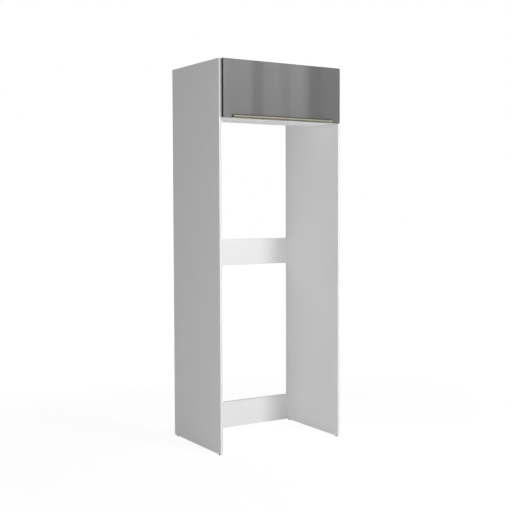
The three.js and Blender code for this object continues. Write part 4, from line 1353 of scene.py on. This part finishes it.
# %% [markdown]
# The rod has its piston at the lower end and its socket at the upper one. The socket could be a piece of
# its own, but it never moves on the rod, so it is welded to it and gets its finish by a test for the
# distance along the strut.

# %% Strut rod
PISTON_LENGTH = 0.006
ROD_BITE = 0.001  # how far the rod runs into its neck

piston = tube_start + TUBE_FLOOR + PISTON_LENGTH
neck_low = strut_length - NECK_LENGTH - SOCKET_RADIUS
rod_rings = [(piston, END_DISC), (piston, TUBE_BORE - SEAM), (piston + PISTON_LENGTH, TUBE_BORE - SEAM)]
rod_rings += [(piston + PISTON_LENGTH, ROD_RADIUS), (neck_low + ROD_BITE, ROD_RADIUS)]
rod_rings += [(neck_low + ROD_BITE, END_DISC)]
rod = turned("strut_rod", strut_foot, strut_way, rod_rings)
weld(rod, new_socket(strut_head, -strut_way, NECK_LENGTH + SOCKET_RADIUS))
paint(rod, "chrome", ("socket", lambda point: run(point) > neck_low - SOCKET_EDGE))
hand_over_pair(tube, "strut_cylinder")
hand_over_pair(rod, "strut_rod")
print("rod is", round((strut_length - piston) * 1000, 1), "mm from piston to stud")

# %% [markdown]
# Both brackets are pressed from two millimetre steel. The one on the cabinet's side has round ends and a
# long stud with a collar. It could be carved out of one block, but a plate and a turned stud that are
# welded are quicker to make and look like the real riveted ones. Its screws are part of the piece, as in
# the CAD model.

# %% Side bracket
BRACKET_STEEL = 0.002
BRACKET_RADIUS = 0.009
BRACKET_REACH = 0.025  # half the plate's height
BRACKET_EASE = 0.0003
SIDE_SCREW_HALF = 0.016  # from the stud to a screw
STUD_HEAD = 0.0046
STUD_BITE = 0.0005  # how deep in the plate the stud starts
STUD_CHAMFER = 0.0003
CLIP_SIDE = 0.0008  # height of the stud's clip below its chamfer
CLIP_TOP = 0.0012
CLIP_CHAMFER = 0.0006

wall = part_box("box_side_left")[1].x + SEAM
side_bracket = stadium(
    "side_bracket",
    Vector((wall, strut_foot.y - BRACKET_RADIUS, strut_foot.z - BRACKET_REACH)),
    Vector((wall + BRACKET_STEEL, strut_foot.y + BRACKET_RADIUS, strut_foot.z + BRACKET_REACH)),
    0,
)
ease(side_bracket, BRACKET_EASE)
collar_end = strut_foot.x - SOCKET_WIDTH / 2 - SEAM - wall
stud_end = strut_foot.x + SOCKET_WIDTH / 2 + SEAM - wall
stud_rings = [(STUD_BITE, STUD_HEAD), (collar_end - STUD_CHAMFER, STUD_HEAD)]
stud_rings += [(collar_end, STUD_HEAD - STUD_CHAMFER), (collar_end, STUD_RADIUS)]
stud_rings += [(stud_end, STUD_RADIUS), (stud_end, STUD_HEAD)]
stud_rings += [(stud_end + CLIP_SIDE, STUD_HEAD), (stud_end + CLIP_TOP, STUD_HEAD - CLIP_CHAMFER)]
weld(side_bracket, turned("stud", (wall, strut_foot.y, strut_foot.z), X, stud_rings))
for end in (-1, 1):
    spot = (wall + BRACKET_STEEL, strut_foot.y, strut_foot.z + end * SIDE_SCREW_HALF)
    weld(side_bracket, aim(copied(patterns["bracket"]), spot, -X))
paint(side_bracket, "zinc")
print("side bracket faces", len(side_bracket.data.polygons))

# %% [markdown]
# The bracket on the flap is an angle: a foot with two screws, a bend, and a narrower ear with a short
# stud. Two boxes could be welded at the corner, but a folded strip has the bend of real pressed steel. Its
# ear is then narrowed, and the corners are bevelled round.

# %% Flap bracket
BRACKET_BEND = 0.0018
BEND_STEPS = 5
FOOT_HALF = 0.012  # half the foot's height
FOOT_CORNER = 0.004
FOOT_STEPS = 6
EAR_NARROW = 0.007  # half the ear's height
EAR_TIP_SHARE = 0.9

foot_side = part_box("strut_door_bracket_left")[1].x  # where the foot ends
seat = flap_back + SEAM
ear_outer = strut_head.x + SOCKET_WIDTH / 2 + SEAM + BRACKET_STEEL
ear_inner = ear_outer + BRACKET_STEEL
ear_middle = ear_outer + BRACKET_STEEL / 2
strip_low = strut_head.z - FOOT_HALF
strip_path = [
    (foot_side, seat + BRACKET_STEEL / 2, strip_low),
    (ear_middle, seat + BRACKET_STEEL / 2, strip_low),
    (ear_middle, strut_head.y + EAR_NARROW, strip_low),
]
strip_path = rounded(strip_path, BRACKET_BEND, BEND_STEPS)
flap_bracket = folded("flap_bracket", strip_path, 2 * FOOT_HALF * Z, BRACKET_STEEL)
foot_end = foot_side - CLOSE
choose(flap_bracket, "EDGE", lambda point: point.x > foot_end and abs(point.z - strut_head.z) > EAR_NARROW)
bpy.ops.mesh.bevel(offset=FOOT_CORNER, segments=FOOT_STEPS, affect="EDGES")
ear_tip = strut_head.y + EAR_NARROW - CLOSE
choose(flap_bracket, "FACE", lambda point: point.y > ear_tip)
bpy.ops.transform.resize(value=(1, 1, EAR_NARROW / FOOT_HALF), center_override=strut_head)
ear_side = EAR_NARROW / 2
choose(flap_bracket, "EDGE", lambda point: point.y > ear_tip and abs(point.z - strut_head.z) > ear_side)
bpy.ops.mesh.bevel(offset=EAR_NARROW * EAR_TIP_SHARE, segments=ROUND_STEPS, affect="EDGES")
ease(flap_bracket, BRACKET_EASE)
print("ear is", 2 * EAR_NARROW * 1000, "mm high, and the foot", 2 * FOOT_HALF * 1000, "mm")

# %% [markdown]
# The short stud and the two screws are joined to the angle after its edges are eased. They could be joined
# before, but then the bevel would run over the small faces of the screws too. Both brackets are then
# handed over, and the patterns of the screws have served their turn.

# %% Stud and screws of the flap bracket
FLAP_SCREW_HALF = 0.0065  # from the stud's height to a screw
SHORT_BITE = 0.0002  # how deep in the ear the short stud starts

short_rings = [(0, STUD_HEAD), (2 * BRACKET_STEEL - STUD_CHAMFER, STUD_HEAD)]
short_rings += [(2 * BRACKET_STEEL, STUD_HEAD - STUD_CHAMFER)]
short_start = (ear_inner - SHORT_BITE, strut_head.y, strut_head.z)
weld(flap_bracket, turned("short_stud", short_start, -X, short_rings))
for end in (-1, 1):
    spot = ((foot_side + ear_inner) / 2, seat + BRACKET_STEEL, strut_head.z + end * FLAP_SCREW_HALF)
    weld(flap_bracket, aim(copied(patterns["bracket"]), spot, -Y))
paint(flap_bracket, "zinc")
hand_over_pair(side_bracket, "strut_side_bracket")
hand_over_pair(flap_bracket, "strut_door_bracket")
for pattern in patterns.values():
    bpy.data.objects.remove(pattern)
print("flap bracket faces", len(flap_bracket.data.polygons))

# %% [markdown]
# ## Glides, buffers and hidden fittings
# Each glide is a moulded pad on a nail, which one turned shape gives. The nail is in the panel's end and
# could be left out, but a piece that was taken out of the model should still be whole. One glide is made
# on the origin, and the four are its copies.

# %% Glides
PAD_RADIUS = 0.0055
PAD_EDGE = 0.0012
PAD_HEIGHT = 0.0067
PAD_SHOULDER = 0.0006
PAD_DISC = 0.002  # radius of the flat disc under the pad
NAIL_RADIUS = 0.0013
NAIL_TIP = 0.021
NAIL_POINT = 0.0002  # radius of the blunt point
NAIL_SHOWS = 0.0001  # above the pad, faces are nail

pad_rings = [(0, PAD_DISC)] + arc(PAD_EDGE, PAD_RADIUS - PAD_EDGE, PAD_EDGE, -90, 0, steps=5)
pad_rings += arc(PAD_HEIGHT - PAD_SHOULDER, PAD_RADIUS - PAD_SHOULDER, PAD_SHOULDER, 0, 90, steps=4)
pad_rings += [(PAD_HEIGHT, NAIL_RADIUS), (NAIL_TIP - NAIL_RADIUS, NAIL_RADIUS), (NAIL_TIP, NAIL_POINT)]
pattern = turned("glide", (0, 0, 0), Z, pad_rings)
paint(pattern, "glide", ("zinc", lambda point: point.z > PAD_HEIGHT + NAIL_SHOWS))
for end in ("front", "rear"):
    for side in ("left", "right"):
        name = f"foot_{end}_{side}"
        spot = middle_of(name)
        hand_over(aim(copied(pattern), (spot.x, spot.y, 0), Z), name)
bpy.data.objects.remove(pattern)
print("glides stand", PAD_HEIGHT * 1000, "mm high")

# %% [markdown]
# The buffers are drops of clear silicone that catch the shut flap. A sphere could be pressed flat, but its
# rim would be too thin, so the rings follow a curve of their own: a short wall, then a full dome. The
# right buffer is the mirror image of the left one.

# %% Buffers
DOME_STEPS = 8
DOME_WALL_SHARE = 0.3  # of the buffer's height
DOME_TIP_SHARE = 0.06  # of its radius, where the dome is closed
DOME_FULLNESS = 0.6  # a power: the smaller, the fuller

low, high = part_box("door_bumper_left")
dome_radius = (high.z - low.z) / 2
dome_height = high.y - low.y
dome_rings = [(0, dome_radius)]
for step in range(DOME_STEPS + 1):
    angle = math.pi / 2 * step / DOME_STEPS
    rise = between(DOME_WALL_SHARE, 1, math.sin(angle))
    wide = max(math.cos(angle), DOME_TIP_SHARE) ** DOME_FULLNESS
    dome_rings.append((dome_height * rise, dome_radius * wide))
dome = turned("dome", seat_of("door_bumper_left", -Y), -Y, dome_rings)
paint(dome, "silicone")
hand_over_pair(dome, "door_bumper")
print("buffer is", round(dome_height * 1000, 1), "mm thick")

# %% [markdown]
# The cams, bolts, dowels and pins hardly show, and their CAD shape is already the real one. They could be
# turned anew like the others, but a bevel on a copy of each node eases its rims, and the hand-over smooths
# its round faces.

# %% Cams, bolts, dowels and pins
FITTING_EASE = 0.00015
FITTINGS = ("_cam_", "_bolt_", "_dowel_", "hinge_pin")

fittings = [name for name in slot_of if any(kind in name for kind in FITTINGS)]
for name in fittings:
    fitting = copy_node(name)
    flatten(fitting)
    ease(fitting, FITTING_EASE, sharp=VERY_SHARP)
    paint(fitting, slot_of[name])
    hand_over(fitting, name)
print("smoothed", len(fittings), "hidden fittings")

# %% [markdown]
# ## The studio
# The unit stands in a white room. The floor and the room show white to the camera, to reflections and
# through clear pieces, while they light the object at a lower level, so the white boards stay just under
# white and keep their shape. More light on everything would also whiten the room, but it would burn out
# the boards.

# %% Room
ROOM_LEVEL = 0.2
WHITE = (1, 1, 1, 1)
BLACK = (0, 0, 0, 1)


def shown_rays(flow):
    """1 for rays from the camera, a reflection or a clear piece, and 0 for rays that light the object."""
    camera_ray = flow.add("ShaderNodeLightPath", output="Is Camera Ray")
    glossy_ray = flow.add("ShaderNodeLightPath", output="Is Glossy Ray")
    clear_ray = flow.add("ShaderNodeLightPath", output="Is Transmission Ray")
    return flow.math("MAXIMUM", flow.math("MAXIMUM", camera_ray, glossy_ray), clear_ray)


def blend_shader(flow, share, first, second):
    """The first shader where share is 0 and the second where it is 1."""
    return flow.add("ShaderNodeMixShader", None, {0: share, 1: first, 2: second})


world = bpy.data.worlds.new("studio")
bpy.context.scene.world = world
world.use_nodes = True
world.node_tree.nodes.clear()
room = Flow(world.node_tree)
lit = room.add("ShaderNodeBackground", None, {"Color": WHITE, "Strength": ROOM_LEVEL})
shown = room.add("ShaderNodeBackground", None, {"Color": WHITE, "Strength": 1.0})
room.add("ShaderNodeOutputWorld", None, {"Surface": blend_shader(room, shown_rays(room), lit, shown)})
print("room lights at", ROOM_LEVEL, "and shows at 1")

# %% [markdown]
# The floor has to be white and still keep the unit's shadow. White paint alone only gives back the light
# that falls on it and would turn grey here. So a plain diffuse floor, which takes the shadow, is mixed
# with an even glow, and the glow rises to full white a few metres away, where the floor meets the room.

# %% Floor
FLOOR_SIZE = 60
FLOOR_GREY = (0.78, 0.78, 0.78, 1)
FLOOR_WHITE = 0.8  # how much of the floor is glow
FLOOR_GLOW = 1.24
NEAR_GLOW = 0.915  # share of the glow near the unit
NEAR = 1.5
FAR = 4.5


def empty_finish(name):
    """A new material without nodes, and a Flow to add them with."""
    material = bpy.data.materials.new(name)
    material.use_nodes = True
    material.node_tree.nodes.clear()
    return material, Flow(material.node_tree)


bare()
bpy.ops.mesh.primitive_plane_add(size=FLOOR_SIZE, location=(0, 0, 0))
studio_floor = named("studio_floor")
material, flow = empty_finish("studio_floor")
shade = flow.add("ShaderNodeBsdfDiffuse", None, {"Color": FLOOR_GREY})
away = flow.add("ShaderNodeVectorMath", {"operation": "LENGTH"}, {"Vector": place_of(flow)}, "Value")
reach = {"Value": away, "From Min": NEAR, "From Max": FAR, "To Min": NEAR_GLOW, "To Max": 1}
grey = blend_colour(flow, flow.add("ShaderNodeMapRange", None, reach), BLACK, WHITE)
glow = flow.add("ShaderNodeEmission", None, {"Color": grey, "Strength": FLOOR_GLOW})
mixed = blend_shader(flow, FLOOR_WHITE * shown_rays(flow), shade, glow)
flow.add("ShaderNodeOutputMaterial", None, {"Surface": mixed})
studio_floor.data.materials.append(material)
print("floor glows at", FLOOR_GLOW)

# %% [markdown]
# Seven soft lamps, six in front of the unit and one behind it, give each board the tone that it has in the
# photograph: the left panel darker than the rails, and the right panel's inner face in between. One big
# lamp would be simpler, but it can't set the tones of three directions one by one. The lamps don't show in
# reflections.

# %% Lamps
LAMP_DISTANCE = 5.0
AIM = Vector((0, 0, 1.1))
LAMPS = [  # name, degrees to the right of the front, height, size across, size upwards, watts
    ("front_top", 15, 4.6, 1.2, 1.4, 96),
    ("right_low", 50, 0.6, 1.2, 1.0, 66),
    ("rear", 180, 1.4, 1.2, 2.2, 66),
    ("left_wide", -50, 0.8, 1.2, 1.4, 42),
    ("front_low", 15, 0.5, 1.2, 0.9, 42),
    ("front_right", 20, 1.2, 1.2, 2.2, 24),
    ("front", 0, 1.2, 1.2, 2.2, 21),
]
for name, bearing, height, wide, high, watts in LAMPS:
    turn = math.radians(bearing)
    spot = Vector((LAMP_DISTANCE * math.sin(turn), -LAMP_DISTANCE * math.cos(turn), height))
    lamp = bpy.data.lights.new(name, "AREA")
    lamp.shape = "RECTANGLE"
    lamp.size = wide
    lamp.size_y = high
    lamp.energy = watts
    holder = bpy.data.objects.new(name, lamp)
    holder.location = spot
    holder.visible_glossy = False
    holder.rotation_euler = (AIM - spot).to_track_quat("-Z", "Y").to_euler()
    bpy.context.scene.collection.objects.link(holder)
    print("lamp", name, watts, "W")

# %% [markdown]
# ## What the gloss mirrors
# A gloss front shows what stands opposite, so here that is built as a photographer would. A tall soft
# cloth hangs where the camera's mirror image looks, in folds that glow more and less. A dark ceiling and a
# dark mat give the round lip of the pull its shaded edges, and a dark screen behind the unit dims what its
# underside mirrors. Bands could be painted on the front, but they would stay put when the flap opens, as
# mirrored ones don't. Only reflections see these panels, so they light nothing.

# %% Panels for the reflections
UPRIGHT = math.pi / 2
FLAGS = [  # name, middle, size, tilt, glow
    ("dark_ceiling", (0, -2, 4.2), (9, 9), 0, 0.05),
    ("dark_mat", (2.6, -3.6, 0.02), (4.8, 5.2), 0, 0.05),
    ("dark_screen", (1.7, 3.0, 1.6), (1.3, 3.0), UPRIGHT, 0.1),
]


def mirror_panel(name, middle, size, tilt):
    """A flat panel that only reflections see. Returns a Flow to add its nodes with."""
    bare()
    bpy.ops.mesh.primitive_plane_add(size=1, location=middle, rotation=(tilt, 0, 0))
    bpy.context.active_object.scale = (*size, 1)
    panel = named(name)
    for sight in ("camera", "diffuse", "transmission", "volume_scatter", "shadow"):
        setattr(panel, "visible_" + sight, False)
    finish, flow = empty_finish(name)
    panel.data.materials.append(finish)
    return flow


def glow_with(flow, colour, strength):
    """A panel's finish is only its glow."""
    glow = flow.add("ShaderNodeEmission", None, {"Color": colour, "Strength": strength})
    flow.add("ShaderNodeOutputMaterial", None, {"Surface": glow})


for name, middle, size, tilt, level in FLAGS:
    glow_with(mirror_panel(name, middle, size, tilt), WHITE, level)
    print(name, "glows at", level)

# %% [markdown]
# The cloth's folds are the stops of a colour ramp across it, soft where the cloth turns slowly and hard
# where it turns fast. Real folds could be modelled and lit, but a ramp can be set fold by fold.

# %% The cloth's folds
CLOTH_LEFT = 2.4
CLOTH_RIGHT = 4.5
CLOTH_PLANE = -6.0
CLOTH_LOW = 0.9
CLOTH_HIGH = 4.1
CLOTH_BRIGHT = 4.0
CLOTH_FOLDS = [  # place across, glow
    (2.67, 4.0),
    (2.75, 3.3),
    (3.04, 3.3),
    (3.07, 2.0),
    (3.19, 1.9),
    (3.24, 3.0),
    (3.44, 3.2),
    (3.50, 2.6),
    (3.60, 2.6),
    (3.64, 3.3),
    (3.77, 3.3),
    (3.86, 2.4),
    (3.92, 1.1),
    (4.04, 1.0),
    (4.12, 1.4),
    (4.34, 1.4),
    (4.40, 1.0),
]

cloth_wide = CLOTH_RIGHT - CLOTH_LEFT
stops = []
for place, level in CLOTH_FOLDS:
    light = level / CLOTH_BRIGHT
    stops.append(((place - CLOTH_LEFT) / cloth_wide, (light, light, light, 1)))
print("cloth with", len(stops), "stops")

# %% [markdown]
# The cloth glows by itself. A lamp on it would also light the unit, and an even glow would look like a
# sheet of glass. So the ramp's glow falls off towards the floor, and soft noise that is drawn out
# downwards makes it waver a little, as a woven thing does.

# %% The cloth's glow
DIM_HEIGHT = 2.4
DIM_SHARE = 0.8
FULL_HEIGHT = 3.1
FULL_SHARE = 1.06
WAVER_SHARES = (0.85, 1.15)

cloth_middle = ((CLOTH_LEFT + CLOTH_RIGHT) / 2, CLOTH_PLANE, (CLOTH_LOW + CLOTH_HIGH) / 2)
flow = mirror_panel("folded_cloth", cloth_middle, (cloth_wide, CLOTH_HIGH - CLOTH_LOW), UPRIGHT)
across = flow.add("ShaderNodeSeparateXYZ", None, {"Vector": place_of(flow)}, "X")
upward = flow.add("ShaderNodeSeparateXYZ", None, {"Vector": place_of(flow)}, "Z")
share_range = {"Value": across, "From Min": CLOTH_LEFT, "From Max": CLOTH_RIGHT}
share = flow.add("ShaderNodeMapRange", None, share_range)
folds = flow.add("ShaderNodeValToRGB", {"stops": stops}, {"Fac": share})
fall_range = {"Value": upward, "From Min": DIM_HEIGHT, "From Max": FULL_HEIGHT}
fall_range |= {"To Min": DIM_SHARE, "To Max": FULL_SHARE}
fall = flow.add("ShaderNodeMapRange", None, fall_range)
waver = between(*WAVER_SHARES, noise(flow, place_of(flow, stretch=(1, 1, 0.02)), size=0.05, detail=1.0))
sheen = flow.add("ShaderNodeVectorMath", {"operation": "SCALE"}, {"Vector": folds, "Scale": fall * waver})
glow_with(flow, sheen, CLOTH_BRIGHT)
print("cloth glows at up to", CLOTH_BRIGHT)

# %% [markdown]
# ## Finish
# The view transform is Standard, so that a colour shows as it was written, where a filmic one would grey the
# whites.

# %% View transform
bpy.context.scene.view_settings.view_transform = "Standard"
